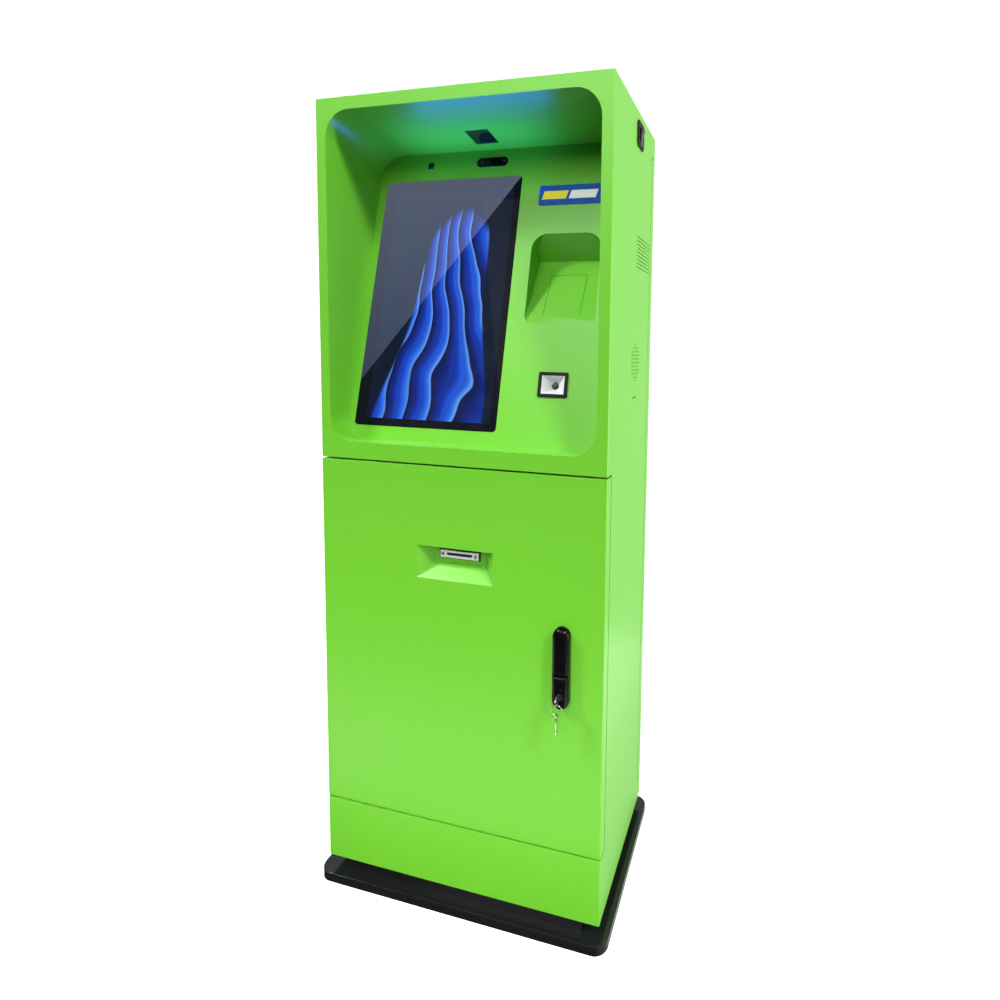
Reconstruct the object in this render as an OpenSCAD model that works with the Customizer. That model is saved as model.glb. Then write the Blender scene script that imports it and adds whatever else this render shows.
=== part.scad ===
// Free-standing self-service payment and check-in kiosk.
// Body coordinates: x across, y from the front face (0) to the back, z from the underside of the cabinet.
// place() carries them to the part's own frame: origin at the middle of the footprint, on the floor.

/* [Cabinet] */
// Width of the cabinet body
body_w = 614; // [600:1:640]
// Depth of the cabinet body
body_d = 382; // [376:1:400]
// Height of the cabinet body without its base
body_h = 1600; // [1595:1:1625]
// Thickness of the sheet steel
sheet = 2; // [1.5:0.1:2.2]

/* [Base] */
// Thickness of the base plate
plate_t = 20; // [15:1:25]
// Height of the riser between base plate and cabinet
riser_h = 28; // [22:1:34]
// Overhang of the base plate round the cabinet
plate_over = 17; // [12:1:30]
// Corner radius of the base plate
plate_r = 28; // [15:1:40]
// Radius of the anchor holes in the base plate
anchor_r = 7; // [5:0.5:9]
// Anchor holes, centre to centre across the cabinet
anchor_x = 410; // [380:5:430]
// Anchor holes, centre to centre front to back
anchor_y = 220; // [200:5:240]

/* [Hood] */
// Height of the underside of the hood
hood_z = 883; // [880:1:890]
// Half width of the hood opening
mouth_hw = 284.8; // [280:0.2:288]
// Height of the sill of the hood opening
sill_z = 917; // [912:1:925]
// Height of the top edge of the hood opening
mouth_z = 1574; // [1570:1:1576]
// Corner radius of the hood opening
mouth_r = 52; // [40:1:60]
// Downward slope of the hood ceiling, degrees
ceil_slope = 9.5; // [6:0.5:12]
// Depth of the fascia behind the front face, at the sill
fascia_y = 43.4; // [40:0.2:48]
// Backward tilt of the fascia, degrees
fascia_tilt = 13.7; // [12:0.1:14.5]

/* [Screen] */
// Width of the touch glass
glass_w = 325.2; // [310:0.2:330]
// Height of the touch glass
glass_h = 548; // [520:1:550]
// Middle of the touch glass across the cabinet
glass_x = -102; // [-108:1:-98]
// Lower edge of the touch glass, along the fascia
glass_v = 30; // [28:1:40]

/* [Fascia devices] */
// Middle of the device column across the cabinet
dev_x = 173; // [168:1:176]
// Width of the reader alcove
alcove_w = 150; // [130:1:160]
// Lower edge of the alcove, along the fascia
alcove_v0 = 254; // [240:1:270]
// Upper edge of the alcove, along the fascia
alcove_v1 = 446; // [430:1:455]
// Slope of the alcove floor against the fascia, degrees
alcove_slope = 19; // [15:1:22]
// Length of the alcove floor up its slope
alcove_floor = 160; // [140:1:165]
// Middle of the code scanner, along the fascia
scan_v = 129.8; // [120:0.2:140]
// Width of the code scanner bezel
scan_w = 61; // [55:1:66]
// Height of the code scanner bezel
scan_h = 50.5; // [46:0.5:54]

/* [Front door] */
// Height of the plinth strip under the door
plinth_z = 134; // [120:1:140]
// Gap above and below the door
door_gap = 4; // [3.5:0.1:5]
// Depth of the overlay door pan
door_d = 28; // [27:0.5:29]
// Opening angle of the doors, degrees
door_open = 105; // [60:5:105]
// Middle of the card slot across the door
slot_x = -3.5; // [-10:0.5:10]
// Height of the card slot
slot_z = 697; // [690:1:700]
// Middle of the door lock across the door
lock_x = 225; // [215:1:240]
// Lower end of the door lock
lock_z0 = 433; // [420:1:440]
// Length of the door lock
lock_len = 159; // [150:1:165]
// Width of the door lock
lock_w = 33.5; // [32:0.5:36]

/* [Rear door] */
// Depth of the rear door pan
rear_d = 32; // [31:0.5:33]
// Lower edge of the rear door
rear_z0 = 54; // [50:1:70]
// Upper edge of the rear door
rear_z1 = 1548; // [1500:1:1560]

/* [Hidden] */
$fn = 64;

hw = body_w / 2;
iw = hw - sheet;
key_reach = 41;
base_h = plate_t + riser_h;
y_mid = (body_d + plate_over - key_reach) / 2;
far = 900;

// Fascia: the top edge where it meets the ceiling, and the outline of the alcove in (depth, height)
fascia_top = 642;
alcove_lift = alcove_floor * cos(alcove_slope);
alcove_in = alcove_floor * sin(alcove_slope);
alcove_r = 34;
reader_w = 80;
reader_h = 97;
reader_s = 22;

// Front door
door_z0 = plinth_z + door_gap;
door_z1 = hood_z - door_gap;
side_front = 31;
pin_r = 3;
pin_fit = 0.05;
pin_in = 6;
pocket_w = 167;
pocket_z0 = 651;
pocket_z1 = 717;
pocket_d = 27.5;
pocket_side = 27.5;
pocket_low = 25;

// Lock: the spindle sits in the upper round end, the key cylinder in the lower block
lock_r = lock_w / 2;
spindle_z = lock_z0 + lock_len - lock_r;
lever_end = 75.5;
plug_z = 460;
lift_z = spindle_z + 6.8;
lift_y = -10.5;
key_t = 2;
ring_r = 10.6;
wire_r = 0.8;
hole_y = -30;
hole_z = 452.6;
cam_y = 32.5;
strike_y = 29.5;

// Rear door
rear_y = body_d - rear_d;
side_back = rear_y - 3;
rear_sill = rear_z0 - 3;
rear_lintel = rear_z1 + 3;
rear_lock_x = -255;
rear_lock_z = 800;

// Card dispenser on the door
card_w = 54;
card_l = 86;
exit_y = 75;
feed_y = 150;
mag_y = 110;
mag_z = slot_z - 0.4;
roller_z = mag_z - 9.3;
stack_h = 60;
axle_r = 3;
frame_hw = 44;

// Side devices
fan_y = 265;
fan_z = 1330;
fan_x = hw - sheet - 25.5;
inlet_y = 184.5;
inlet_z = 1528.5;
inlet_w = 57;
inlet_h = 51;
rocker_y = 226;
rocker_z = 1554;
rocker_x = hw - 2;
rocker_tilt = 7;
speaker_y = 214;
speaker_z = 1087;

module place() translate([0, -y_mid, base_h]) children();

// From here on, x across, y into the fascia and z up along it
module on_fascia() place() translate([0, fascia_y, sill_z]) rotate([-fascia_tilt, 0, 0]) children();

// x across, y back along the hood ceiling and z square off it
module on_ceiling() place() translate([0, 0, mouth_z]) rotate([-ceil_slope, 0, 0]) children();

// x across, y into the alcove floor and z up its slope
module on_floor() on_fascia() translate([0, 0, alcove_v0]) rotate([-alcove_slope, 0, 0]) children();

module box(lo, hi) translate(lo) cube(hi - lo);

// A rounded rectangle between two corners
module round_rect(lo, hi, r) {
    translate([lo[0] + r, lo[1]]) square([hi[0] - lo[0] - 2 * r, hi[1] - lo[1]]);
    translate([lo[0], lo[1] + r]) square([hi[0] - lo[0], hi[1] - lo[1] - 2 * r]);
    for (x = [lo[0] + r, hi[0] - r], y = [lo[1] + r, hi[1] - r]) translate([x, y]) circle(r);
}

// A flat outline in x and z, made a plate from y0 to y1
module plate_xz(y0, y1) translate([0, y1, 0]) rotate([90, 0, 0]) linear_extrude(y1 - y0) children();

// A flat outline in y and z, made a plate from x0 to x1
module plate_yz(x0, x1) translate([x0, 0, 0]) rotate([90, 0, 90]) linear_extrude(x1 - x0) children();

// A round bar along y or along x
module bar_y(r, y0, y1, x, z) translate([x, y1, z]) rotate([90, 0, 0]) cylinder(r = r, h = y1 - y0);
module bar_x(r, x0, x1, y, z) translate([x0, y, z]) rotate([0, 90, 0]) cylinder(r = r, h = x1 - x0);

// The space inside the hood, grown by g on every side
module hood_space(g) intersection() {
    translate([0, 0, mouth_z]) rotate([-ceil_slope, 0, 0])
        plate_xz(-100, 400) round_rect([-mouth_hw - g, -far], [mouth_hw + g, g], mouth_r + g);
    plate_xz(-100, 400) round_rect([-mouth_hw - g, sill_z - g], [mouth_hw + g, sill_z + far], mouth_r + g);
}

module glass_outline(g) round_rect(
    [glass_x - glass_w / 2 - g, glass_v - g],
    [glass_x + glass_w / 2 + g, glass_v + glass_h + g], 8 + g
);

module pill_outline(g) round_rect([-49.5 - g, 603.5 - g], [23.5 + g, 624.5 + g], 10.4 + g);

function meet(p, u, q, v) = p + u * cross(q - p, v) / cross(u, v);

// The alcove's side outline in depth and height: floor, then the slope back up to the front
function alcove_side(g) =
    let (
        floor_dir = [sin(alcove_slope), cos(alcove_slope)],
        floor_out = [cos(alcove_slope), -sin(alcove_slope)],
        crease = [alcove_in, alcove_v0 + alcove_lift],
        roof_run = crease - [0, alcove_v1],
        roof_dir = roof_run / norm(roof_run),
        roof_out = [-roof_dir[1], roof_dir[0]],
        low = [0, alcove_v0] + g * floor_out,
        high = [0, alcove_v1] + g * roof_out,
        front = [0, 1]
    )
    [
        meet(low, floor_dir, [-8, 0], front),
        meet(low, floor_dir, high, roof_dir),
        meet(high, roof_dir, [-8, 0], front)
    ];

module alcove_space(g) intersection() {
    plate_xz(-8, 80) round_rect(
        [dev_x - alcove_w / 2 - g, alcove_v0 - 12 - g],
        [dev_x + alcove_w / 2 + g, alcove_v1 + g], alcove_r + g
    );
    plate_yz(dev_x - alcove_w / 2 - g, dev_x + alcove_w / 2 + g) polygon(alcove_side(g));
}

// The bevelled recess in the door, grown by g: flat top, sloping sides and floor
module pocket_space(g) intersection() {
    slant = g * sqrt(2);
    translate([slot_x + 0.5, 0, pocket_z0 - 20]) linear_extrude(200) polygon([
        [-pocket_w / 2 - slant - 5, -5], [pocket_w / 2 + slant + 5, -5],
        [pocket_w / 2 + slant - pocket_side - g, pocket_d + g],
        [-pocket_w / 2 - slant + pocket_side + g, pocket_d + g]
    ]);
    plate_yz(-200, 200) polygon([
        [-5, pocket_z0 - slant - 4.6], [pocket_d + g, pocket_z0 - slant + pocket_low + g],
        [pocket_d + g, pocket_z1 + g], [-5, pocket_z1 + g]
    ]);
}

module slot_outline(w, h) translate([slot_x, slot_z]) square([w, h], center = true);

// ---- base and cabinet ----

module base_plate() color([0.10, 0.11, 0.11]) place() difference() {
    translate([0, 0, -base_h]) linear_extrude(plate_t)
        round_rect([-hw - plate_over, -plate_over], [hw + plate_over, body_d + plate_over], plate_r);
    for (s = [-1, 1], t = [-1, 1])
        translate([s * anchor_x / 2, (body_d + t * anchor_y) / 2, -base_h - 1]) cylinder(r = anchor_r, h = plate_t + 2);
}

// Four box sections under the cabinet, welded corner to corner
module base_riser() color([0.05, 0.05, 0.05]) place() {
    for (y = [10, body_d - 40]) difference() {
        box([-267, y, -riser_h], [267, y + 30, 0]);
        box([-268, y + 3, 3 - riser_h], [268, y + 27, -3]);
    }
    for (x = [-267, 237]) difference() {
        box([x, 40, -riser_h], [x + 30, body_d - 40, 0]);
        box([x + 3, 39, 3 - riser_h], [x + 27, body_d - 39, -3]);
    }
}

module floor_pan() color([0.43, 0.80, 0.24]) place() difference() {
    box([-iw, sheet, 0], [iw, body_d - sheet, sheet]);
    for (s = [-1, 1], t = [-1, 1])
        translate([s * anchor_x / 2, (body_d + t * anchor_y) / 2, -1]) cylinder(r = 22, h = sheet + 2);
}

module plinth_front() color([0.43, 0.80, 0.24]) place() box([-iw, 0, 0], [iw, sheet, plinth_z]);

// One side wall: notched front and back where the two overlay doors wrap round it
module side_wall() polygon([
    [0, 0], [body_d, 0], [body_d, rear_sill], [side_back, rear_sill], [side_back, rear_lintel],
    [body_d, rear_lintel], [body_d, body_h], [0, body_h], [0, hood_z], [side_front, hood_z],
    [side_front, plinth_z], [0, plinth_z]
]);

module speaker_holes() for (i = [-4:4], j = [-5:5])
    if (norm([i * 9 + (abs(j) % 2) * 4.5, j * 7.8]) < 40)
        translate([speaker_y + i * 9 + (abs(j) % 2) * 4.5, speaker_z + j * 7.8]) circle(r = 2.2, $fn = 24);

module side_panel_left() color([0.43, 0.80, 0.24]) place() plate_yz(-hw, -iw) difference() {
    side_wall();
    speaker_holes();
}

module side_panel_right() color([0.43, 0.80, 0.24]) place() plate_yz(iw, hw) difference() {
    side_wall();
    speaker_holes();
    for (i = [0:8]) translate([0, 1287.4 + 7.8 * i]) round_rect([209, 0], [340, 1.8], 0.88);
    round_rect([192, 1012], [232, 1014], 0.98);
    round_rect([inlet_y + 4, inlet_z + 4], [inlet_y + inlet_w - 4, inlet_z + inlet_h - 4], 3);
}

module top_panel() color([0.43, 0.80, 0.24]) place()
    box([-iw, 0, body_h - sheet], [iw, body_d, body_h]);

module hood_frame() color([0.43, 0.80, 0.24]) place() difference() {
    box([-iw, 0, hood_z], [iw, sheet, body_h - sheet]);
    hood_space(0);
}

module hood_liner() color([0.20, 0.55, 0.10]) difference() {
    place() difference() {
        intersection() {
            hood_space(sheet);
            box([-far, sheet, 0], [far, 400, far * 2]);
        }
        hood_space(0);
    }
    on_fascia() box([-far, sheet, -200], [far, far, 1000]);
    on_ceiling() box([-40, 113, -5], [12, 170, 10]);
}

module fascia_panel() color([0.40, 0.75, 0.22]) difference() {
    intersection() {
        place() hood_space(0);
        on_fascia() box([-far, 0, -50], [far, sheet, 900]);
    }
    on_fascia() {
        plate_xz(-5, 5) glass_outline(0.5);
        plate_xz(-5, 5) pill_outline(0.3);
        box([-168, -5, 606.5], [-154, 5, 620.5]);
        intersection() {
            alcove_space(sheet);
            box([0, 0, 0], [400, 80, 600]);
        }
        box([dev_x - 27, -5, scan_v - 22], [dev_x + 27, 5, scan_v + 22]);
    }
}

module alcove_liner() color([0.20, 0.55, 0.10]) difference() {
    on_fascia() difference() {
        intersection() {
            alcove_space(sheet);
            box([0, 0, 0], [400, 80, 600]);
        }
        alcove_space(0);
    }
    on_floor() box(
        [dev_x - reader_w / 2, -4, reader_s], [dev_x + reader_w / 2, 4, reader_s + reader_h]
    );
}

module mid_shelf() color([0.43, 0.80, 0.24]) place() difference() {
    box([-iw, sheet, hood_z], [iw, side_back - 1, hood_z + sheet]);
    translate([pin_in - hw, door_d - pin_in, hood_z - 1]) cylinder(r = pin_r, h = 4);
    translate([200, 250, hood_z - 1]) cylinder(r = 30, h = 4);
}

module door_sill() color([0.43, 0.80, 0.24]) place() difference() {
    box([-iw, sheet, plinth_z - sheet], [iw, 60, plinth_z]);
    translate([pin_in - hw, door_d - pin_in, plinth_z - 3]) cylinder(r = pin_r, h = 4);
}

module post(x, y, z0, z1) difference() {
    box([x, y, z0], [x + 25, y + 25, z1]);
    box([x + 2, y + 2, z0 - 1], [x + 23, y + 23, z1 + 1]);
}

module front_posts() color([0.43, 0.80, 0.24]) place()
    for (x = [-iw, iw - 25]) post(x, 62, sheet, hood_z);

module rear_posts() color([0.43, 0.80, 0.24]) place() for (x = [-iw, iw - 25]) {
    post(x, 310, sheet, hood_z);
    post(x, 310, hood_z + sheet, body_h - sheet);
}

// Strips above and below the rear door, each with the ledge that holds a hinge pin
module rear_strips() color([0.43, 0.80, 0.24]) place() difference() {
    union() {
        box([-iw, body_d - sheet, 0], [iw, body_d, rear_sill]);
        box([-iw, side_back, rear_sill - sheet], [iw, body_d - 1, rear_sill]);
        box([-iw, body_d - sheet, rear_lintel], [iw, body_d, body_h - sheet]);
        box([-iw, side_back, rear_lintel], [iw, body_d - 1, rear_lintel + sheet]);
    }
    for (z = [rear_sill - 3, rear_lintel - 1])
        translate([hw - pin_in, rear_y + pin_in, z]) cylinder(r = pin_r, h = 4);
}

// Four steel pins in the cabinet that the doors turn on; the lower ones carry a washer
module hinge_pins() color([0.7, 0.7, 0.72]) place() {
    translate([pin_in - hw, door_d - pin_in, 0]) {
        translate([0, 0, plinth_z - 10]) cylinder(r = pin_r, h = 26);
        translate([0, 0, plinth_z]) cylinder(r = 5, h = door_gap - 0.1);
        translate([0, 0, hood_z - 16]) cylinder(r = pin_r, h = 22);
    }
    translate([hw - pin_in, rear_y + pin_in, 0]) {
        translate([0, 0, rear_sill - 10]) cylinder(r = pin_r, h = 24);
        translate([0, 0, rear_sill]) cylinder(r = 5, h = 2.9);
        translate([0, 0, rear_lintel - 16]) cylinder(r = pin_r, h = 22);
    }
}

// Angle brackets that the two lock cams turn behind
module strike_plates() color([0.7, 0.7, 0.72]) place() {
    box([262, strike_y, spindle_z - 32], [iw, strike_y + 2, spindle_z + 32]);
    box([iw - 2, strike_y, spindle_z - 32], [iw, 62, spindle_z + 32]);
    box([-iw, side_back - 2, rear_lock_z - 30], [-272, side_back, rear_lock_z + 30]);
    box([-iw, 335, rear_lock_z - 30], [2 - iw, side_back, rear_lock_z + 30]);
}

// ---- screen and fascia devices ----

module touch_glass() color([0.02, 0.02, 0.03]) on_fascia() plate_xz(-1, sheet) glass_outline(0);

module display_panel() color([0.05, 0.10, 0.45]) on_fascia()
    box([glass_x - 147, sheet, glass_v + 16], [glass_x + 147, sheet + 9, glass_v + glass_h - 16]);

// Steel back box with a flange that clamps the glass against the fascia
module monitor_housing() color([0.15, 0.15, 0.16]) on_fascia() difference() {
    union() {
        box([glass_x - 166, sheet, glass_v - 4], [glass_x + 166, sheet + 2, glass_v + glass_h + 4]);
        box([glass_x - 152, sheet, glass_v + 10], [glass_x + 152, 46, glass_v + glass_h - 10]);
    }
    box([glass_x - 147, 0, glass_v + 16], [glass_x + 147, sheet + 9, glass_v + glass_h - 16]);
    box([glass_x - 145, 10, glass_v + 18], [glass_x + 145, 44, glass_v + glass_h - 18]);
    for (i = [0:13]) box([glass_x - 60, 40, 360 + 10 * i], [glass_x + 60, 50, 364 + 10 * i]);
}

module camera_module() color([0.05, 0.05, 0.05]) on_fascia() difference() {
    union() {
        box([-167.7, -0.6, 606.8], [-154.3, sheet, 620.2]);
        box([-176, sheet, 598], [-146, 20, 628]);
    }
    box([-165.5, -1, 609], [-156.5, 0.8, 618]);
    bar_y(3, 0, 6, -161, 613.5);
}

module sensor_bar() color([0.04, 0.04, 0.04]) on_fascia() {
    plate_xz(-0.8, sheet) pill_outline(0);
    box([-58, sheet, 600], [32, 18, 628]);
}

module ceiling_window() color([0.05, 0.08, 0.05]) on_ceiling() box([-39.7, 113.3, 0], [11.7, 169.7, 2]);

module overhead_camera() color([0.6, 0.6, 0.62]) on_ceiling() difference() {
    box([-48, 105, 2], [20, 178, 24]);
    box([-36, 117, 1], [8, 166, 18]);
}

module badge_plate() color([0.05, 0.16, 0.45]) on_fascia()
    plate_xz(-1.2, 0) round_rect([dev_x - 69.5, 508], [dev_x + 69.5, 552], 6);

// Contactless reader: its cover fills the window in the alcove floor
module reader_module() color([0.40, 0.75, 0.22]) on_floor() {
    box(
        [dev_x - reader_w / 2 + 1, -0.2, reader_s + 1],
        [dev_x + reader_w / 2 - 1, 2, reader_s + reader_h - 1]
    );
    box([dev_x - 46, 2, reader_s - 6], [dev_x + 46, 20, reader_s + reader_h + 6]);
}

module scanner_bezel() color([0.03, 0.03, 0.03]) on_fascia() difference() {
    union() {
        plate_xz(-3, 0) round_rect(
            [dev_x - scan_w / 2, scan_v - scan_h / 2], [dev_x + scan_w / 2, scan_v + scan_h / 2], 3
        );
        box([dev_x - 26.8, 0, scan_v - 21.8], [dev_x + 26.8, 18, scan_v + 21.8]);
    }
    box([dev_x - 24, -4, scan_v - 18.6], [dev_x + 24, 19, scan_v + 18.6]);
}

// Silvered funnel behind the scanner window
module scanner_reflector() color([0.8, 0.8, 0.8]) on_fascia() translate([dev_x, 0, scan_v]) difference() {
    box([-23.9, -1.5, -18.5], [23.9, 15, 18.5]);
    hull() {
        box([-22.6, -2, -17.2], [22.6, -1.9, 17.2]);
        box([-9, 13, -9], [9, 13.1, 9]);
    }
    bar_y(7.5, 10, 16, 0, 0);
}

module scanner_body() color([0.05, 0.05, 0.06]) on_fascia() {
    bar_y(7, 12, 18, dev_x, scan_v);
    box([dev_x - 30, 18, scan_v - 25], [dev_x + 30, 48, scan_v + 25]);
}

// ---- side and inner devices ----

module speakers() color([0.08, 0.08, 0.08]) place() for (s = [-1, 1])
    translate([s * iw, speaker_y, speaker_z]) rotate([0, -90 * s, 0]) rotate_extrude() polygon([
        [0, 3], [30, 1], [39, 3], [40, 0], [46, 0], [46, 4], [40, 8], [22, 22], [22, 34], [0, 34]
    ]);

module inlet_outline(g) polygon([
    [inlet_y + 7, inlet_z], [inlet_y + inlet_w - 7, inlet_z], [inlet_y + inlet_w, inlet_z + 7],
    [inlet_y + inlet_w, inlet_z + inlet_h - 7], [inlet_y + inlet_w - 7, inlet_z + inlet_h],
    [inlet_y + 7, inlet_z + inlet_h], [inlet_y, inlet_z + inlet_h - 7], [inlet_y, inlet_z + 7]
]);

module power_inlet() color([0.05, 0.05, 0.05]) place() difference() {
    union() {
        plate_yz(hw, hw + 3) inlet_outline();
        box([289, inlet_y + 5, inlet_z + 5], [hw, inlet_y + inlet_w - 5, inlet_z + inlet_h - 5]);
    }
    box([292, 192.5, 1541], [hw + 4, 209.5, 1567]);
    box([292, rocker_y - 8, rocker_z - 19], [hw + 4, rocker_y + 8, rocker_z + 19]);
    bar_y(1.5 + pin_fit, rocker_y - 9.4, rocker_y + 9.4, rocker_x, rocker_z);
}

module rocker_switch() color([0.25, 0.25, 0.26]) place() translate([rocker_x, rocker_y, rocker_z]) {
    rotate([0, rocker_tilt, 0]) translate([0, 7.6, 0]) rotate([90, 0, 0]) linear_extrude(15.2) polygon([
        [-8, -12], [3, -17], [7, -17], [4.6, 0], [7, 17], [3, 17], [-8, 12]
    ]);
    bar_y(1.5, -9, 9, 0, 0);
}

module mini_pc() color([0.2, 0.2, 0.21]) place() difference() {
    box([-240, 165, hood_z + sheet], [-50, 305, hood_z + sheet + 48]);
    for (i = [0:17]) box([-232 + 10 * i, 160, hood_z + 44], [-227 + 10 * i, 310, hood_z + 60]);
    for (i = [0:3]) box([-225 + 42 * i, 300, hood_z + 12], [-200 + 42 * i, 310, hood_z + 26]);
}

module power_supply() color([0.65, 0.66, 0.68]) place() difference() {
    box([-250, 130, sheet], [-35, 245, sheet + 50]);
    box([-60, 120, sheet + 18], [-30, 255, sheet + 60]);
    for (i = [0:15]) box([-240 + 11 * i, 150, sheet + 46], [-235 + 11 * i, 225, sheet + 60]);
}

module fan_ring() difference() {
    round_rect([-40, -40], [40, 40], 5);
    circle(38);
    for (y = [-35, 35], z = [-35, 35]) translate([y, z]) circle(2.2);
}

module fan_housing() color([0.06, 0.06, 0.06]) place() translate([fan_x, fan_y, fan_z]) {
    plate_yz(0, 3) {
        fan_ring();
        circle(14);
        for (a = [45:90:315]) rotate(a) translate([10, -2]) square([31, 4]);
    }
    plate_yz(3, 25.4) fan_ring();
    bar_x(2, 3, 20, 0, 0);
}

module fan_rotor() color([0.12, 0.12, 0.12]) place() translate([fan_x, fan_y, fan_z]) difference() {
    union() {
        bar_x(13, 4, 22, 0, 0);
        for (a = [0:360 / 7:359]) rotate([a, 0, 0])
            translate([13, 0, 12]) rotate([0, 0, 38]) box([-1, -10.5, 0], [1, 10.5, 23]);
    }
    bar_x(2 + pin_fit, 0, 21, 0, 0);
}

// ---- front door and its devices ----

// A shallow pan: skin outside at depth 0, the rim turned back to the given depth, x from -w/2 to w/2
module pan(w, d, z0, z1) {
    difference() {
        translate([0, 0, z0]) linear_extrude(z1 - z0) difference() {
            union() {
                translate([2 - w / 2, 0]) square([w - 4, 4]);
                translate([-w / 2, 2]) square([w, d - 2]);
                for (x = [2 - w / 2, w / 2 - 2]) translate([x, 2]) circle(2);
            }
        }
        box([sheet - w / 2, sheet, z0 + sheet], [w / 2 - sheet, d + 1, z1 - sheet]);
    }
}

module door_panel() color([0.45, 0.83, 0.26]) place() difference() {
    pan(body_w, door_d, door_z0, door_z1);
    pocket_space(sheet);
    bar_y(9, -1, 3, lock_x, spindle_z);
    bar_y(9.6, -1, 3, lock_x, plug_z);
    for (z = [door_z0 - 1, door_z1 - 3])
        translate([pin_in - hw, door_d - pin_in, z]) cylinder(r = pin_r + pin_fit, h = 4);
}

module slot_pocket() color([0.35, 0.70, 0.18]) place() difference() {
    intersection() {
        pocket_space(sheet);
        box([-200, 0, 600], [200, 60, 800]);
    }
    pocket_space(0);
    plate_xz(20, 40) slot_outline(58, 8);
    for (s = [-1, 1]) bar_y(1.7, 20, 40, slot_x + 36 * s, slot_z);
}

module slot_gasket() color([0.02, 0.02, 0.02]) place() plate_xz(25.5, pocket_d) difference() {
    slot_outline(90, 19);
    slot_outline(58, 8);
    for (s = [-1, 1]) translate([slot_x + 36 * s, slot_z]) circle(1.7);
}

module slot_bezel() color([0.8, 0.8, 0.82]) place() difference() {
    plate_xz(22.5, 25.5) round_rect(
        [slot_x - 42, slot_z - 7.25], [slot_x + 42, slot_z + 7.25], 1
    );
    plate_xz(20, 30) slot_outline(56, 6);
    for (s = [-1, 1]) bar_y(1.7, 20, 30, slot_x + 36 * s, slot_z);
}

module bezel_screws() color([0.7, 0.7, 0.72]) place() for (x = [slot_x - 36, slot_x + 36]) {
    bar_y(1.6, 22, 31.5, x, slot_z);
    difference() {
        bar_y(3.2, 21, 22.5, x, slot_z);
        box([x - 2.4, 20, slot_z - 0.4], [x + 2.4, 21.6, slot_z + 0.4]);
    }
}

// Steel frame on four stand-offs behind the door skin
module dispenser_frame() color([0.6, 0.6, 0.62]) place() difference() {
    union() {
        box([slot_x - 82, 32, 636], [slot_x + 82, 34, 752]);
        for (s = [-1, 1], z = [642, 744]) bar_y(4, sheet, 32, slot_x + 74 * s, z);
        for (x = [slot_x - frame_hw - 2, slot_x + frame_hw]) box([x, 34, 672], [x + 2, 212, 745]);
        box([slot_x - frame_hw, 34, 672], [slot_x + frame_hw, 212, 674]);
    }
    plate_xz(30, 36) slot_outline(60, 8);
    for (y = [exit_y, feed_y]) bar_x(axle_r + pin_fit, slot_x - 60, slot_x + 60, y, roller_z);
}

module card_magazine() color([0.75, 0.76, 0.78]) place() difference() {
    box([slot_x - frame_hw, mag_y, mag_z - 2], [slot_x + frame_hw, mag_y + card_l + 8, mag_z + 145]);
    box(
        [slot_x - card_w / 2 - 1, mag_y + 3, mag_z],
        [slot_x + card_w / 2 + 1, mag_y + card_l + 5, mag_z + 146]
    );
    box([slot_x - 21, feed_y - 10, mag_z - 3], [slot_x + 21, feed_y + 10, mag_z + 1]);
    box([slot_x - card_w / 2 - 1, mag_y - 1, mag_z], [slot_x + card_w / 2 + 1, mag_y + 4, mag_z + 1.2]);
    box([slot_x - 12, mag_y - 1, mag_z + 12], [slot_x + 12, mag_y + 4, mag_z + 146]);
}

module card_stack() color([0.92, 0.92, 0.94]) place() box(
    [slot_x - card_w / 2, mag_y + 4, mag_z], [slot_x + card_w / 2, mag_y + 4 + card_l, mag_z + stack_h]
);

// Weight that presses the stack down; its tongue shows through the slot in the magazine
module card_pusher() color([0.55, 0.55, 0.58]) place() {
    box(
        [slot_x - 26, mag_y + 5, mag_z + stack_h + 0.2],
        [slot_x + 26, mag_y + card_l + 3, mag_z + stack_h + 16]
    );
    box([slot_x - 10, mag_y - 12, mag_z + stack_h + 4], [slot_x + 10, mag_y + 6, mag_z + stack_h + 12]);
}

module roller(y, x0, x1) {
    bar_x(9, slot_x - 20, slot_x + 20, y, roller_z);
    bar_x(axle_r, x0, x1, y, roller_z);
    bar_x(6, slot_x - frame_hw - 12, slot_x - frame_hw - 4, y, roller_z);
}

module feed_roller() color([0.1, 0.1, 0.1]) place()
    roller(feed_y, slot_x - frame_hw - 13, slot_x + frame_hw + 12);

module exit_roller() color([0.1, 0.1, 0.1]) place()
    roller(exit_y, slot_x - frame_hw - 13, slot_x + frame_hw + 4);

module feed_motor() color([0.3, 0.3, 0.32]) place() difference() {
    union() {
        box([slot_x + 46, feed_y - 15, roller_z - 14], [slot_x + 54, feed_y + 15, roller_z + 15]);
        bar_x(13, slot_x + 54, slot_x + 92, feed_y, roller_z);
    }
    bar_x(axle_r + pin_fit, slot_x + 40, slot_x + 60, feed_y, roller_z);
}

// Belt over the two pulleys, 0.3 clear of them
module drive_belt() color([0.03, 0.03, 0.03]) place() plate_yz(slot_x - 55, slot_x - 49) difference() {
    belt_outline(7.6);
    belt_outline(6.3);
}
module belt_outline(r) {
    for (y = [exit_y, feed_y]) translate([y, roller_z]) circle(r);
    translate([exit_y, roller_z - r]) square([feed_y - exit_y, 2 * r]);
}

module lock_outline() round_rect(
    [lock_x - lock_r, lock_z0], [lock_x + lock_r, lock_z0 + lock_len], lock_r - 0.01
);

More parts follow.
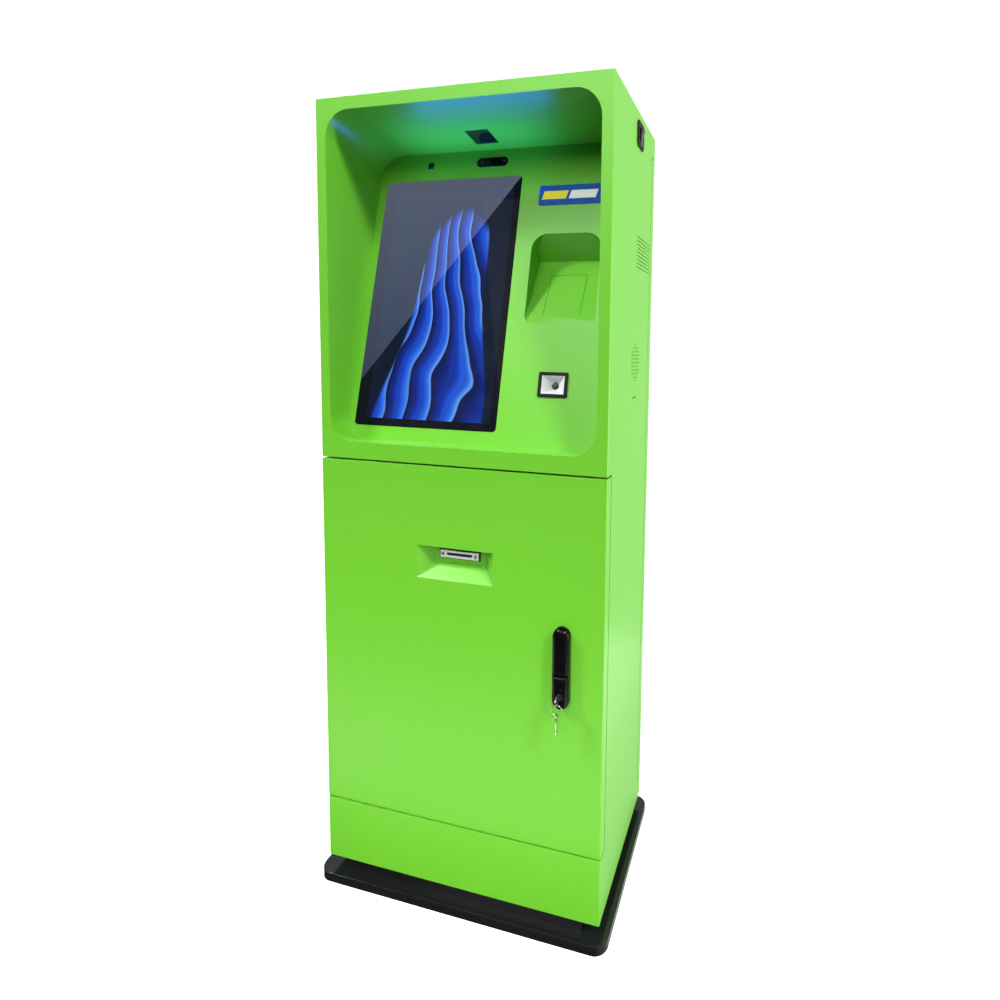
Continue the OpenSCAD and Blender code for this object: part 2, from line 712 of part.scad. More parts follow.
// Escutcheon with the raised lower block that holds the key cylinder
module lock_housing() color([0.03, 0.03, 0.03]) place() difference() {
    union() {
        plate_xz(-6, 0) lock_outline();
        difference() {
            plate_xz(-17, -6) intersection() {
                lock_outline();
                translate([lock_x - 20, lock_z0]) square([40, 80]);
            }
            bar_y(lever_end + 0.6, -20, -5, lock_x, spindle_z);
        }
        bar_y(8.9, 0, 28, lock_x, spindle_z);
        bar_y(9.5, 0, 24, lock_x, plug_z);
    }
    bar_y(5 + pin_fit, -7, 30, lock_x, spindle_z);
    bar_y(6.5 + pin_fit, -18, 20, lock_x, plug_z);
}

// Spindle with the lever's knuckle outside and the locking cam inside the door
module lock_spindle() color([0.55, 0.55, 0.57]) place() {
    bar_y(5, -6.3, cam_y + 3, lock_x, spindle_z);
    plate_yz(lock_x - 6, lock_x + 6) {
        translate([lift_y, lift_z]) circle(3.4);
        polygon([[-10, lift_z + 3.3], [-6.3, lift_z + 3.3], [-6.3, spindle_z - 4], [-10, lift_z - 3.3]]);
    }
    bar_x(1.5, lock_x - 11, lock_x + 11, lift_y, lift_z);
    plate_xz(cam_y, cam_y + 3) {
        translate([lock_x, spindle_z]) circle(9);
        translate([lock_x - 9, spindle_z]) square([18, 64]);
    }
}

// Swing lever: lifts on the pin, turns with the spindle; its lower end is an arc round the spindle
module lock_lever() color([0.02, 0.02, 0.02]) place() difference() {
    intersection() {
        plate_xz(-17, -6.5) intersection() {
            lock_outline();
            translate([lock_x, spindle_z]) circle(lever_end, $fn = 128);
        }
        plate_yz(lock_x - 20, lock_x + 20) polygon([
            [-18, lock_z0], [-6.5, lock_z0], [-6.5, lift_z - 1], [-12.7, lift_z + 10], [-18, lift_z + 10]
        ]);
    }
    plate_yz(lock_x - 6.5, lock_x + 6.5) {
        translate([lift_y, lift_z]) circle(4);
        polygon([
            [lift_y - 1, lift_z + 4], [-5, lift_z + 11], [-5, spindle_z - 8],
            [-10, spindle_z - 8], [-14, lift_z - 2]
        ]);
    }
    bar_x(1.5 + pin_fit, lock_x - 11.5, lock_x + 11.5, lift_y, lift_z);
}

module lock_plug() color([0.75, 0.75, 0.77]) place() difference() {
    bar_y(6.5, -17.6, 19, lock_x, plug_z);
    box([lock_x - 1.15, -18, plug_z - 4], [lock_x + 1.15, 10, plug_z + 4]);
}

// A flat key in the y-z plane: round bow with a ring hole, then a notched blade
module door_key() color([0.78, 0.78, 0.76]) place() plate_yz(lock_x - key_t / 2, lock_x + key_t / 2)
    difference() {
        union() {
            translate([-30.5, plug_z - 1]) circle(10.5);
            translate([-24, plug_z - 3.8]) square([32, 7.6]);
        }
        translate([hole_y, hole_z]) circle(2.4);
        for (i = [0:4]) translate([-4 + 3 * i, plug_z - 4.4]) circle(r = 1.3, $fn = 24);
    }

module key_ring() color([0.8, 0.8, 0.8]) place() translate([lock_x, hole_y, hole_z - ring_r])
    rotate([90, 0, 0]) rotate_extrude() translate([ring_r, 0]) circle(wire_r);

module spare_key() color([0.78, 0.78, 0.76]) place()
    plate_yz(lock_x - key_t / 2, lock_x + key_t / 2) translate([hole_y, hole_z - 2 * ring_r]) difference() {
        union() {
            translate([0, -4]) circle(8);
            translate([-3.5, -36.4]) square([7, 28]);
        }
        circle(2.4);
        for (i = [0:4]) translate([-4, -31.5 + 4 * i]) circle(r = 1.6, $fn = 24);
    }

// ---- rear door ----

module rear_door() color([0.43, 0.80, 0.24]) place() translate([0, body_d, 0]) mirror([0, 1, 0])
    difference() {
        pan(body_w, rear_d, rear_z0, rear_z1);
        for (z = [rear_z0 - 1, rear_z1 - 3])
            translate([hw - pin_in, rear_d - pin_in, z]) cylinder(r = pin_r + pin_fit, h = 4);
        for (x = [-90, 90], z = [260, 1340], i = [0:8])
            plate_xz(-1, 3) translate([x, z + 12 * i]) round_rect([-60, 0], [60, 5], 2.4);
        bar_y(9.1, -1, 3, rear_lock_x, rear_lock_z);
    }

module rear_lock() color([0.75, 0.75, 0.77]) place() difference() {
    union() {
        bar_y(9, side_back, body_d, rear_lock_x, rear_lock_z);
        bar_y(11.5, body_d, body_d + 3, rear_lock_x, rear_lock_z);
    }
    bar_y(6 + pin_fit, side_back - 1, body_d + 4, rear_lock_x, rear_lock_z);
}

module rear_lock_cam() color([0.6, 0.6, 0.62]) place() difference() {
    union() {
        bar_y(6, side_back - 6, body_d + 2.6, rear_lock_x, rear_lock_z);
        plate_xz(side_back - 6, side_back - 3) {
            translate([rear_lock_x, rear_lock_z]) circle(8.5);
            translate([rear_lock_x - 8.5, rear_lock_z - 42]) square([17, 42]);
        }
    }
    box([rear_lock_x - 1.1, 370, rear_lock_z - 4], [rear_lock_x + 1.1, body_d + 4, rear_lock_z + 4]);
}

base_plate();
base_riser();
floor_pan();
plinth_front();
side_panel_left();
side_panel_right();
top_panel();
hood_frame();
hood_liner();
fascia_panel();
alcove_liner();
mid_shelf();
door_sill();
front_posts();
rear_posts();
rear_strips();
touch_glass();
display_panel();
monitor_housing();
camera_module();
sensor_bar();
ceiling_window();
overhead_camera();
badge_plate();
reader_module();
scanner_bezel();
scanner_reflector();
scanner_body();
speakers();
power_inlet();
rocker_switch();
mini_pc();
power_supply();
fan_housing();
fan_rotor();
hinge_pins();
strike_plates();
door_panel();
slot_pocket();
slot_gasket();
slot_bezel();
bezel_screws();
dispenser_frame();
card_magazine();
card_stack();
card_pusher();
feed_roller();
exit_roller();
feed_motor();
drive_belt();
lock_housing();
lock_spindle();
lock_lever();
lock_plug();
door_key();
key_ring();
spare_key();
rear_door();
rear_lock();
rear_lock_cam();
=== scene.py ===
"""A free-standing self-service kiosk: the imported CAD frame, with its skins, materials, light and camera."""

import math

import bmesh
import bpy
from mathutils import Matrix, Vector


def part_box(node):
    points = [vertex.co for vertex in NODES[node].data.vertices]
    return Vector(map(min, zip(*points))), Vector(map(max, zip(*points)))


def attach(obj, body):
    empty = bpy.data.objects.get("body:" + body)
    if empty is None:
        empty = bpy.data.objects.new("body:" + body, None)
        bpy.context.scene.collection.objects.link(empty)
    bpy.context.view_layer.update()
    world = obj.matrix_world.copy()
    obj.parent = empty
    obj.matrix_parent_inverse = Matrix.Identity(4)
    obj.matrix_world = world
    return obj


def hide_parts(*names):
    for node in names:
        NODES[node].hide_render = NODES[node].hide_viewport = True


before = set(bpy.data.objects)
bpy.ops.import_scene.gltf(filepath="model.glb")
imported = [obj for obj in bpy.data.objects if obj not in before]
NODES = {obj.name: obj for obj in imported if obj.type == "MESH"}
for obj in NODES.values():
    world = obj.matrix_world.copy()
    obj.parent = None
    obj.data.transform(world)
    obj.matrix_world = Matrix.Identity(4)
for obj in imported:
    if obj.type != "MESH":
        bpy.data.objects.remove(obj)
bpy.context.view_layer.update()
SCENE = bpy.context.scene

# ---------------------------------------------------------------- where things are
# Lengths are in millimetres: x from the cabinet's middle, y back from its front face, z up from its
# underside. PLACE turns them into the frame of the CAD nodes. FRONT and FLOOR are in that frame, in metres.
MM = 0.001
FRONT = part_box("plinth_front")[0].y
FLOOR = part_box("plinth_front")[0].z
PLACE = Matrix.Translation((0, FRONT, FLOOR)) @ Matrix.Scale(MM, 4)

HALF_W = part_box("door_panel")[1].x / MM
DEPTH = (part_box("side_panel_left")[1].y - FRONT) / MM
HEIGHT = (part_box("side_panel_left")[1].z - FLOOR) / MM
SHEET = 2.0
BEND = 3.0
# Far enough to reach past the whole cabinet
FAR = 900.0

# The front: the plinth, the door and the hood over it; the back: the opening of the rear door
HOOD_Z = (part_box("hood_frame")[0].z - FLOOR) / MM
PLINTH_Z = (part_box("plinth_front")[1].z - FLOOR) / MM
DOOR_Z0 = (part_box("door_panel")[0].z - FLOOR) / MM
DOOR_Z1 = (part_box("door_panel")[1].z - FLOOR) / MM
DOOR_D = 28.0
SIDE_FRONT = 31.0
REAR_Y = 347.0
REAR_Z0, REAR_Z1 = 51.0, 1551.0

# The hood's mouth: half its width, its sill, its top and its corner radius
MOUTH_HW, SILL_Z, MOUTH_Z, MOUTH_R = 284.8, 917.0, 1574.0, 52.0
CEIL_SLOPE = math.radians(9.5)
FASCIA_Y, TILT = 43.4, math.radians(13.7)
# Rectangles on the fascia as left, right, low, high; heights are measured up the fascia from the sill
GLASS = (-264.6, 60.6, 30.0, 578.0)
PICTURE = (-238.0, 47.0, 46.0, 553.0)
ALCOVE = (98.0, 248.0, 254.0, 446.0)
DEV_X = 173.0
ALCOVE_SLOPE, ALCOVE_FLOOR = math.radians(19), 160.0
SCAN_V = 129.8
# The card slot, and the lock with its handle's pivot, the hinge of its lift, its plug and its reach
SLOT_X, SLOT_Z = -3.5, 697.0
LOCK_X, LOCK_Z0, LOCK_LEN, LOCK_R = 225.0, 433.0, 159.0, 16.75
SPINDLE_Z = LOCK_Z0 + LOCK_LEN - LOCK_R
LIFT_Z = SPINDLE_Z + 6.8
PLUG_Z = 460.0
LEVER_END = 75.5

ON_FASCIA = PLACE @ Matrix.Translation((0, FASCIA_Y, SILL_Z)) @ Matrix.Rotation(-TILT, 4, "X")
ON_CEILING = PLACE @ Matrix.Translation((0, 0, MOUTH_Z)) @ Matrix.Rotation(-CEIL_SLOPE, 4, "X")
ON_FLOOR = ON_FASCIA @ Matrix.Translation((0, 0, ALCOVE[2])) @ Matrix.Rotation(-ALCOVE_SLOPE, 4, "X")


# ---------------------------------------------------------------- camera
def place_camera():
    """The photo's camera: its eye in millimetres and its axes, as solved from the cabinet's edges."""
    eye = Vector((582.9, -1065.3, 1123.4))
    right = Vector((0.96486, 0.26214, 0.01831))
    up = Vector((-0.03928, 0.07498, 0.99641))
    back = Vector((0.25982, -0.96211, 0.08264))
    data = bpy.data.cameras.new("camera")
    data.sensor_width = 36
    data.lens = 22.108
    data.shift_x, data.shift_y = -0.10287, -0.10411
    data.clip_start, data.clip_end = 0.01, 50
    camera = bpy.data.objects.new("camera", data)
    SCENE.collection.objects.link(camera)
    turn = Matrix((right, up, back)).transposed().to_4x4()
    camera.matrix_world = Matrix.Translation(PLACE @ eye) @ turn
    SCENE.camera = camera


place_camera()


# ---------------------------------------------------------------- mesh helpers
def rounded(x0, x1, z0, z1, r, n=14):
    """A rounded rectangle's outline, counter-clockwise, with n steps to a corner.

    r is one radius, or four: low-left, low-right, high-right, high-left.
    """
    radii = [r] * 4 if isinstance(r, (int, float)) else r
    corners = [(x0, z0, 1, 1, 180), (x1, z0, -1, 1, 270), (x1, z1, -1, -1, 0), (x0, z1, 1, -1, 90)]
    points = []
    for (cx, cz, sx, sz, a0), rad in zip(corners, radii):
        if rad <= 0:
            points.append((cx, cz))
            continue
        for i in range(n + 1):
            a = math.radians(a0 + 90 * i / n)
            points.append((cx + sx * rad + rad * math.cos(a), cz + sz * rad + rad * math.sin(a)))
    return points


def turns(n):
    """The angles of n even steps round a circle."""
    return [2 * math.pi * i / n for i in range(n)]


def disc(cx, cz, r, n=48):
    return [(cx + r * math.cos(a), cz + r * math.sin(a)) for a in turns(n)]


def inset(outline, d):
    """The outline moved inwards by d, with mitred corners. The outline is counter-clockwise."""
    moved = []
    n = len(outline)
    for i in range(n):
        p, q, r = (Vector(outline[j % n]) for j in (i - 1, i, i + 1))
        e0, e1 = (q - p).normalized(), (r - q).normalized()
        n0, n1 = Vector((-e0.y, e0.x)), Vector((-e1.y, e1.x))
        m = n0 + n1
        m.normalize()
        moved.append(tuple(q + m * (d / m.dot(n0))))
    return moved


# Edges sharper than this get rounded
SHARP = math.radians(32)
# Where an outline's two coordinates and its level go, by the axis that the solid runs along
AXES = {
    "x": lambda a, b, level: (level, a, b),
    "y": lambda a, b, level: (a, level, b),
    "z": lambda a, b, level: (a, b, level),
}


def make_object(name, bm, matrix=PLACE):
    """Turns a bmesh into an object in the scene; matrix takes its points into the CAD nodes' frame."""
    bmesh.ops.recalc_face_normals(bm, faces=bm.faces)
    mesh = bpy.data.meshes.new(name)
    bm.to_mesh(mesh)
    bm.free()
    mesh.transform(matrix)
    mesh.update()
    obj = bpy.data.objects.new(name, mesh)
    SCENE.collection.objects.link(obj)
    return obj


def loft(bm, rings, closed_ends=True):
    """Joins rings of equal length with quads, and caps both ends."""
    verts = [[bm.verts.new(p) for p in ring] for ring in rings]
    n = len(rings[0])
    for a, b in zip(verts, verts[1:]):
        for i in range(n):
            bm.faces.new((a[i], a[(i + 1) % n], b[(i + 1) % n], b[i]))
    if closed_ends:
        bm.faces.new(verts[0])
        bm.faces.new(verts[-1])
    return verts


def add_prism(bm, outline, lo, hi, axis="y"):
    to = AXES[axis]
    loft(bm, [[to(a, b, lo) for a, b in outline], [to(a, b, hi) for a, b in outline]])


def many(name, outlines, lo, hi, axis="y", matrix=PLACE):
    """Several separate prisms in one object, for cutting rows of holes at once."""
    bm = bmesh.new()
    for outline in outlines:
        add_prism(bm, outline, lo, hi, axis)
    return make_object(name, bm, matrix)


def prism(name, outline, lo, hi, axis="y", matrix=PLACE):
    return many(name, [outline], lo, hi, axis, matrix)


def block(name, lo, hi, matrix=PLACE):
    outline = [(lo[0], lo[2]), (hi[0], lo[2]), (hi[0], hi[2]), (lo[0], hi[2])]
    return prism(name, outline, lo[1], hi[1], "y", matrix)


def stepped(name, outline_at, profile, matrix=PLACE):
    """A solid by steps of (inset, y): outline_at gives the outline moved inwards by an inset."""
    bm = bmesh.new()
    loft(bm, [[(x, y, z) for x, z in outline_at(d)] for d, y in profile])
    return make_object(name, bm, matrix)


def crowned(name, outline, profile, matrix=PLACE):
    """A stepped solid from one outline: rounded edges that a bevel can't make."""
    return stepped(name, lambda d: inset(outline, d), profile, matrix)


def turned(name, profile, matrix, n=48):
    """A solid of revolution about the local y axis from (radius, y) pairs; an end's radius may be 0."""
    bm = bmesh.new()
    rings = []
    for r, y in profile:
        if r == 0:
            rings.append([bm.verts.new((0, y, 0))])
        else:
            rings.append([bm.verts.new((x, y, z)) for x, z in disc(0, 0, r, n)])
    for a, b in zip(rings, rings[1:]):
        for i in range(n):
            j = (i + 1) % n
            corners = [a[i % len(a)], a[j % len(a)], b[j % len(b)], b[i % len(b)]]
            unique = list(dict.fromkeys(corners))
            if len(unique) > 2:
                bm.faces.new(unique)
    for ring in (rings[0], rings[-1]):
        if len(ring) > 1:
            bm.faces.new(ring)
    return make_object(name, bm, matrix)


def carve(target, cutter, how="DIFFERENCE"):
    """Boolean of two solids; the cutter is used up."""
    mod = target.modifiers.new("cut", "BOOLEAN")
    mod.solver = "EXACT"
    mod.operation = how
    mod.object = cutter
    graph = bpy.context.evaluated_depsgraph_get()
    made = bpy.data.meshes.new_from_object(target.evaluated_get(graph))
    target.modifiers.clear()
    old = target.data
    target.data = made
    bpy.data.meshes.remove(old)
    spare = cutter.data
    bpy.data.objects.remove(cutter)
    bpy.data.meshes.remove(spare)
    return target


def clean(obj):
    """Joins doubles and removes edges and faces of no size that booleans leave."""
    bm = bmesh.new()
    bm.from_mesh(obj.data)
    bmesh.ops.remove_doubles(bm, verts=bm.verts, dist=2e-6)
    bmesh.ops.dissolve_degenerate(bm, edges=bm.edges, dist=1e-6)
    bm.to_mesh(obj.data)
    bm.free()


def soften(obj, width, segments=2, weld=False):
    """Rounded edges and smooth shading, as modifiers. A width of 0 keeps the edges as they are.

    With weld, the flat faces of a CAD node are joined first.
    """
    for poly in obj.data.polygons:
        poly.use_smooth = True
    if weld:
        for attribute in ("custom_normal", "sharp_edge"):
            if attribute in obj.data.attributes:
                obj.data.attributes.remove(obj.data.attributes[attribute])
        mod = obj.modifiers.new("weld", "WELD")
        mod.merge_threshold = 1e-5
        mod = obj.modifiers.new("flat", "DECIMATE")
        mod.decimate_type = "DISSOLVE"
        mod.angle_limit = math.radians(0.4)
    if width:
        mod = obj.modifiers.new("bevel", "BEVEL")
        mod.width = width * MM
        mod.segments = segments
        mod.limit_method = "ANGLE"
        mod.angle_limit = SHARP
        mod.use_clamp_overlap = True
        mod.harden_normals = False
    mod = obj.modifiers.new("normals", "WEIGHTED_NORMAL")
    mod.mode = "FACE_AREA"
    mod.weight = 100
    mod.keep_sharp = True


# ---------------------------------------------------------------- materials
class Graph:
    """A short way to build a node tree, emptied first. Its methods add a node and give its output."""

    def __init__(self, tree, coordinates):
        self.tree = tree
        self.tree.nodes.clear()
        self.coord = self.add("ShaderNodeTexCoord").outputs[coordinates]

    def add(self, kind, **props):
        node = self.tree.nodes.new(kind)
        for key, value in props.items():
            setattr(node, key, value)
        return node

    def link(self, a, b):
        self.tree.links.new(a, b)

    def put(self, socket, value):
        if isinstance(value, bpy.types.NodeSocket):
            self.link(value, socket)
        else:
            socket.default_value = value

    def noise(self, scale, detail=2.0, rough=0.5, vector=None):
        node = self.add("ShaderNodeTexNoise")
        node.inputs["Scale"].default_value = scale
        node.inputs["Detail"].default_value = detail
        node.inputs["Roughness"].default_value = rough
        self.link(vector or self.coord, node.inputs["Vector"])
        return node.outputs["Fac"]

    def stretch(self, x, y, z):
        node = self.add("ShaderNodeMapping")
        node.inputs["Scale"].default_value = (x, y, z)
        self.link(self.coord, node.inputs["Vector"])
        return node.outputs[0]

    def ramp(self, fac, stops):
        """Colours by fac, from (position, colour) stops."""
        node = self.add("ShaderNodeValToRGB")
        elements = node.color_ramp.elements
        while len(elements) < len(stops):
            elements.new(0.5)
        for element, (pos, colour) in zip(elements, stops):
            element.position = pos
            element.color = colour
        self.put(node.inputs[0], fac)
        return node.outputs[0]

    def span(self, value, lo0, hi0, lo1, hi1, smooth=False):
        """Takes value from the range lo0 to hi0 into the range lo1 to hi1, and holds it there."""
        node = self.add("ShaderNodeMapRange")
        if smooth:
            node.interpolation_type = "SMOOTHSTEP"
        sockets = ("Value", "From Min", "From Max", "To Min", "To Max")
        for socket, given in zip(sockets, (value, lo0, hi0, lo1, hi1)):
            self.put(node.inputs[socket], given)
        return node.outputs[0]

    def math(self, op, a, b=0.0):
        node = self.add("ShaderNodeMath", operation=op)
        self.put(node.inputs[0], a)
        self.put(node.inputs[1], b)
        return node.outputs[0]

    def plus(self, *terms):
        total = terms[0]
        for term in terms[1:]:
            total = self.math("ADD", total, term)
        return total

    def minus(self, a, b):
        return self.math("SUBTRACT", a, b)

    def times(self, *factors):
        product = factors[0]
        for factor in factors[1:]:
            product = self.math("MULTIPLY", product, factor)
        return product

    def between(self, value, low, high):
        """1 where value lies between low and high, and 0 elsewhere."""
        return self.times(self.math("GREATER_THAN", value, low), self.math("LESS_THAN", value, high))

    def dot(self, direction):
        """How far the shaded point lies along a direction."""
        node = self.add("ShaderNodeVectorMath", operation="DOT_PRODUCT")
        self.link(self.coord, node.inputs[0])
        node.inputs[1].default_value = direction
        return node.outputs["Value"]

    def mix(self, fac, a, b, blend="MIX"):
        node = self.add("ShaderNodeMix", data_type="RGBA", blend_type=blend)
        self.put(node.inputs[0], fac)
        self.put(node.inputs[6], a)
        self.put(node.inputs[7], b)
        return node.outputs[2]


class Surface(Graph):
    """A node material of one Principled shader."""

    def __init__(self, name):
        self.mat = bpy.data.materials.new(name)
        self.mat.use_nodes = True
        super().__init__(self.mat.node_tree, "Object")
        out = self.add("ShaderNodeOutputMaterial")
        self.bsdf = self.add("ShaderNodeBsdfPrincipled")
        self.link(self.bsdf.outputs[0], out.inputs[0])

    def bump(self, height, strength, distance):
        node = self.add("ShaderNodeBump")
        node.inputs["Strength"].default_value = strength
        node.inputs["Distance"].default_value = distance
        self.link(height, node.inputs["Height"])
        self.link(node.outputs[0], self.bsdf.inputs["Normal"])

    def set(self, **values):
        """Sets or links the shader's inputs; an underscore in a name stands for a space."""
        for key, value in values.items():
            self.put(self.bsdf.inputs[key.replace("_", " ")], value)

    def up_fascia(self):
        """The shaded point's height up the fascia's slope from the sill, in metres."""
        up = Vector((0, math.sin(TILT), math.cos(TILT)))
        return self.minus(self.dot(tuple(up)), up.dot(ON_FASCIA @ Vector((0, 0, 0))))


def scaled(colour, k):
    """A lighter or darker colour."""
    return tuple(min(1.0, c * k) for c in colour[:3]) + (1.0,)


def powder_coat(name, colour, rough, peel=0.0, coat=0.0, spread=0.05):
    """Paint whose tone varies by spread, with orange peel where peel isn't 0."""
    m = Surface(name)
    broad = m.noise(2.2, 3.0, 0.6)
    fine = m.noise(90.0, 2.0)
    tone = m.plus(m.times(broad, 0.7), m.times(fine, 0.3))
    m.set(Base_Color=m.ramp(tone, [(0.1, scaled(colour, 1 - spread)), (0.9, scaled(colour, 1 + spread))]))
    m.set(Roughness=m.span(m.noise(1.6, 1.0, 0.4), 0.0, 1.0, rough[0], rough[1]))
    m.set(Specular_IOR_Level=0.5, Coat_Weight=coat, Coat_Roughness=0.25)
    if peel:
        m.bump(m.noise(620.0, 2.0, 0.55), peel, 0.00025)
    return m.mat


def moulded(name, colour, rough, grain, scale=1500.0, shine=0.5):
    """Plastic or rubber, with a fine grain where grain isn't 0."""
    m = Surface(name)
    tone = m.noise(6.0, 3.0, 0.6)
    m.set(Base_Color=m.ramp(tone, [(0.3, scaled(colour, 0.86)), (0.7, scaled(colour, 1.14))]))
    m.set(Roughness=m.span(m.noise(40.0, 3.0, 0.6), 0.3, 0.7, rough[0], rough[1]))
    m.set(Specular_IOR_Level=shine)
    if grain:
        m.bump(m.noise(scale, 2.0, 0.5), grain, 0.0001)
    return m.mat


def metal(name, colour, rough, brush=(1, 1, 1), scale=160.0, strength=0.08):
    """Metal whose streaks are drawn out where brush is under 1."""
    m = Surface(name)
    along = m.stretch(*brush)
    streak = m.noise(scale, 3.0, 0.6, along)
    m.set(Base_Color=m.ramp(streak, [(0.25, scaled(colour, 0.88)), (0.75, scaled(colour, 1.06))]))
    m.set(Metallic=1.0, Roughness=m.span(streak, 0.25, 0.75, rough[0], rough[1]))
    m.bump(streak, strength, 0.0001)
    return m.mat


GREEN = (0.125, 0.44, 0.024, 1)
PAINT = powder_coat("green_powder_coat", GREEN, (0.26, 0.36))
PAINT_IN = powder_coat("green_powder_coat_inside", scaled(GREEN, 0.96), (0.34, 0.46), peel=0.12)
BASE_PAINT = powder_coat("black_powder_coat", (0.007, 0.008, 0.008, 1), (0.12, 0.16), spread=0.15)
SATIN = powder_coat("satin_aluminium_paint", (0.66, 0.67, 0.69, 1), (0.34, 0.44))
REFLECTOR = powder_coat("satin_reflector", (0.70, 0.71, 0.72, 1), (0.22, 0.30), coat=0.3, spread=0.04)
BLACK_GLOSS = moulded("black_gloss_plastic", (0.0025, 0.0025, 0.003, 1), (0.10, 0.14), 0.0, shine=0.22)
BLACK_MATTE = moulded("black_matte_plastic", (0.008, 0.008, 0.009, 1), (0.42, 0.58), 0.35, shine=0.15)
GREY_PLASTIC = moulded("grey_plastic", (0.055, 0.055, 0.058, 1), (0.36, 0.5), 0.3)
RUBBER = moulded("black_rubber", (0.010, 0.010, 0.010, 1), (0.65, 0.82), 0.5, 1100.0)
STEEL = metal("zinc_plated_steel", (0.52, 0.53, 0.54, 1), (0.28, 0.42))
DARK_STEEL = metal("blackened_steel", (0.06, 0.06, 0.064, 1), (0.30, 0.42), strength=0.02)
BRUSHED = metal("brushed_aluminium", (0.72, 0.73, 0.74, 1), (0.24, 0.36), (0.06, 1, 1), 900.0, 0.10)
CHROME = metal("polished_chrome", (0.75, 0.75, 0.76, 1), (0.05, 0.12), scale=220.0, strength=0.02)
NICKEL = metal("nickel_key", (0.62, 0.58, 0.48, 1), (0.18, 0.30), (1, 1, 0.15), 800.0, 0.06)


def card_material():
    """Cut edges of many stacked cards."""
    m = Surface("stacked_cards")
    wave = m.add("ShaderNodeTexWave", wave_type="BANDS", bands_direction="Z", wave_profile="SIN")
    wave.inputs["Scale"].default_value = 380.0
    wave.inputs["Distortion"].default_value = 0.6
    m.link(m.coord, wave.inputs["Vector"])
    edges = [(0.35, (0.35, 0.36, 0.40, 1)), (0.75, (0.82, 0.83, 0.85, 1))]
    m.set(Base_Color=m.ramp(wave.outputs["Fac"], edges))
    m.set(Roughness=m.span(m.noise(60.0), 0.3, 0.7, 0.30, 0.42))
    m.bump(wave.outputs["Fac"], 0.3, 0.0003)
    return m.mat


def picture_material():
    """The lit screen: the builder's own plain design of soft blue folds, inside a black printed border, under
    a painted reflection.
    """
    m = Surface("screen_picture")
    x = m.dot((1, 0, 0))
    v = m.up_fascia()
    # s and t run over the picture from 0 to 1, across and up
    left, right, low, high = (k * MM for k in PICTURE)
    s = m.span(x, left, right, 0.0, 1.0)
    t = m.span(v, low, high, 0.0, 1.0)
    flat = m.add("ShaderNodeCombineXYZ")
    m.link(s, flat.inputs[0])
    m.link(m.times(t, 1.78), flat.inputs[1])

    def wave(a, b, c, size):
        return m.times(m.math("SINE", m.plus(m.times(s, a), m.times(t, b), c)), size)

    # A sheaf of folds on a dark ground: it leans right and narrows as it rises. u runs across it from -1 to 1
    middle = m.plus(m.times(t, 0.20), m.plus(wave(0.0, 5.2, 0.6, 0.025), 0.47))
    half = m.plus(m.minus(0.445, m.times(t, 0.29)), wave(0.0, 9.0, 1.0, 0.022))
    u = m.math("DIVIDE", m.minus(s, middle), half)
    bend = m.plus(m.times(u, 2.1), m.times(u, u, -0.3))
    phase = m.plus(bend, m.times(t, 1.5), wave(3.0, 6.0, 0.3, 0.28))
    phase = m.plus(phase, m.times(m.noise(2.2, 1.0, 0.4, flat.outputs[0]), 1.3))
    folds = m.ramp(m.math("FRACT", phase), [
        (0.0, (0.001, 0.006, 0.060, 1)), (0.22, (0.002, 0.016, 0.22, 1)), (0.55, (0.006, 0.060, 0.62, 1)),
        (0.86, (0.030, 0.19, 1.0, 1)), (0.965, (0.17, 0.42, 1.0, 1)), (1.0, (0.003, 0.015, 0.12, 1)),
    ])
    pleats = m.ramp(m.math("FRACT", m.plus(m.times(phase, 3.0), wave(5.0, 3.0, 0.0, 0.25))), [
        (0.0, (0.10, 0.10, 0.22, 1)), (0.8, (0.85, 0.9, 1, 1)), (1.0, (0.3, 0.3, 0.5, 1)),
    ])
    folds = m.mix(0.40, folds, pleats, "MULTIPLY")
    ground = m.ramp(m.plus(m.times(s, 0.35), m.times(t, 0.5)), [
        (0.0, (0.001, 0.006, 0.024, 1)), (1.0, (0.002, 0.007, 0.022, 1)),
    ])
    sides = m.span(m.math("ABSOLUTE", u), 0.93, 1.0, 1.0, 0.0, True)
    top = m.span(m.plus(t, m.times(u, u, 0.10)), 0.86, 0.93, 1.0, 0.0, True)
    picture = m.mix(m.times(sides, top), ground, folds)
    lit = m.times(m.between(s, 0.0, 1.0), m.between(t, 0.0, 1.0))
    shown = m.mix(lit, (0, 0, 0, 1), picture)

    # A painted reflection: a pale veil lies over the upper left, from the glass's top right corner down to
    # its left edge
    left, right, _, high = (k * MM for k in GLASS)
    reflection_edge_low, reflection_edge_blur = 0.125, 0.0006
    slope = m.plus(m.times(m.span(x, left, right, 0.0, 1.0), high - reflection_edge_low), reflection_edge_low)
    painted_reflection = m.span(m.minus(v, slope), -reflection_edge_blur, reflection_edge_blur, 0.0, 1.0)
    # The painted reflection's colour, added over the picture, paler towards the top of the glass
    reflection_veil = m.mix(m.span(v, 0.1, 0.58, 0.0, 1.0), (0.035, 0.045, 0.075, 1), (0.095, 0.112, 0.155, 1))
    m.set(Emission_Color=m.mix(painted_reflection, shown, m.mix(1.0, shown, reflection_veil, "ADD")), Emission_Strength=0.9)
    unlit = [(0.3, (0.005, 0.006, 0.009, 1)), (0.7, (0.008, 0.009, 0.012, 1))]
    m.set(Base_Color=m.ramp(m.noise(25.0), unlit))
    m.set(Roughness=m.span(m.noise(9.0, 3.0), 0.3, 0.7, 0.015, 0.03), Specular_IOR_Level=0.03)
    return m.mat


def dark_glass(name, tint, rough):
    m = Surface(name)
    m.set(Base_Color=m.ramp(m.noise(30.0, 2.0), [(0.3, scaled(tint, 0.8)), (0.7, scaled(tint, 1.3))]))
    m.set(Roughness=m.span(m.noise(20.0, 3.0), 0.3, 0.7, rough, rough + 0.05))
    m.set(Coat_Weight=0.8, Coat_Roughness=0.03)
    return m.mat


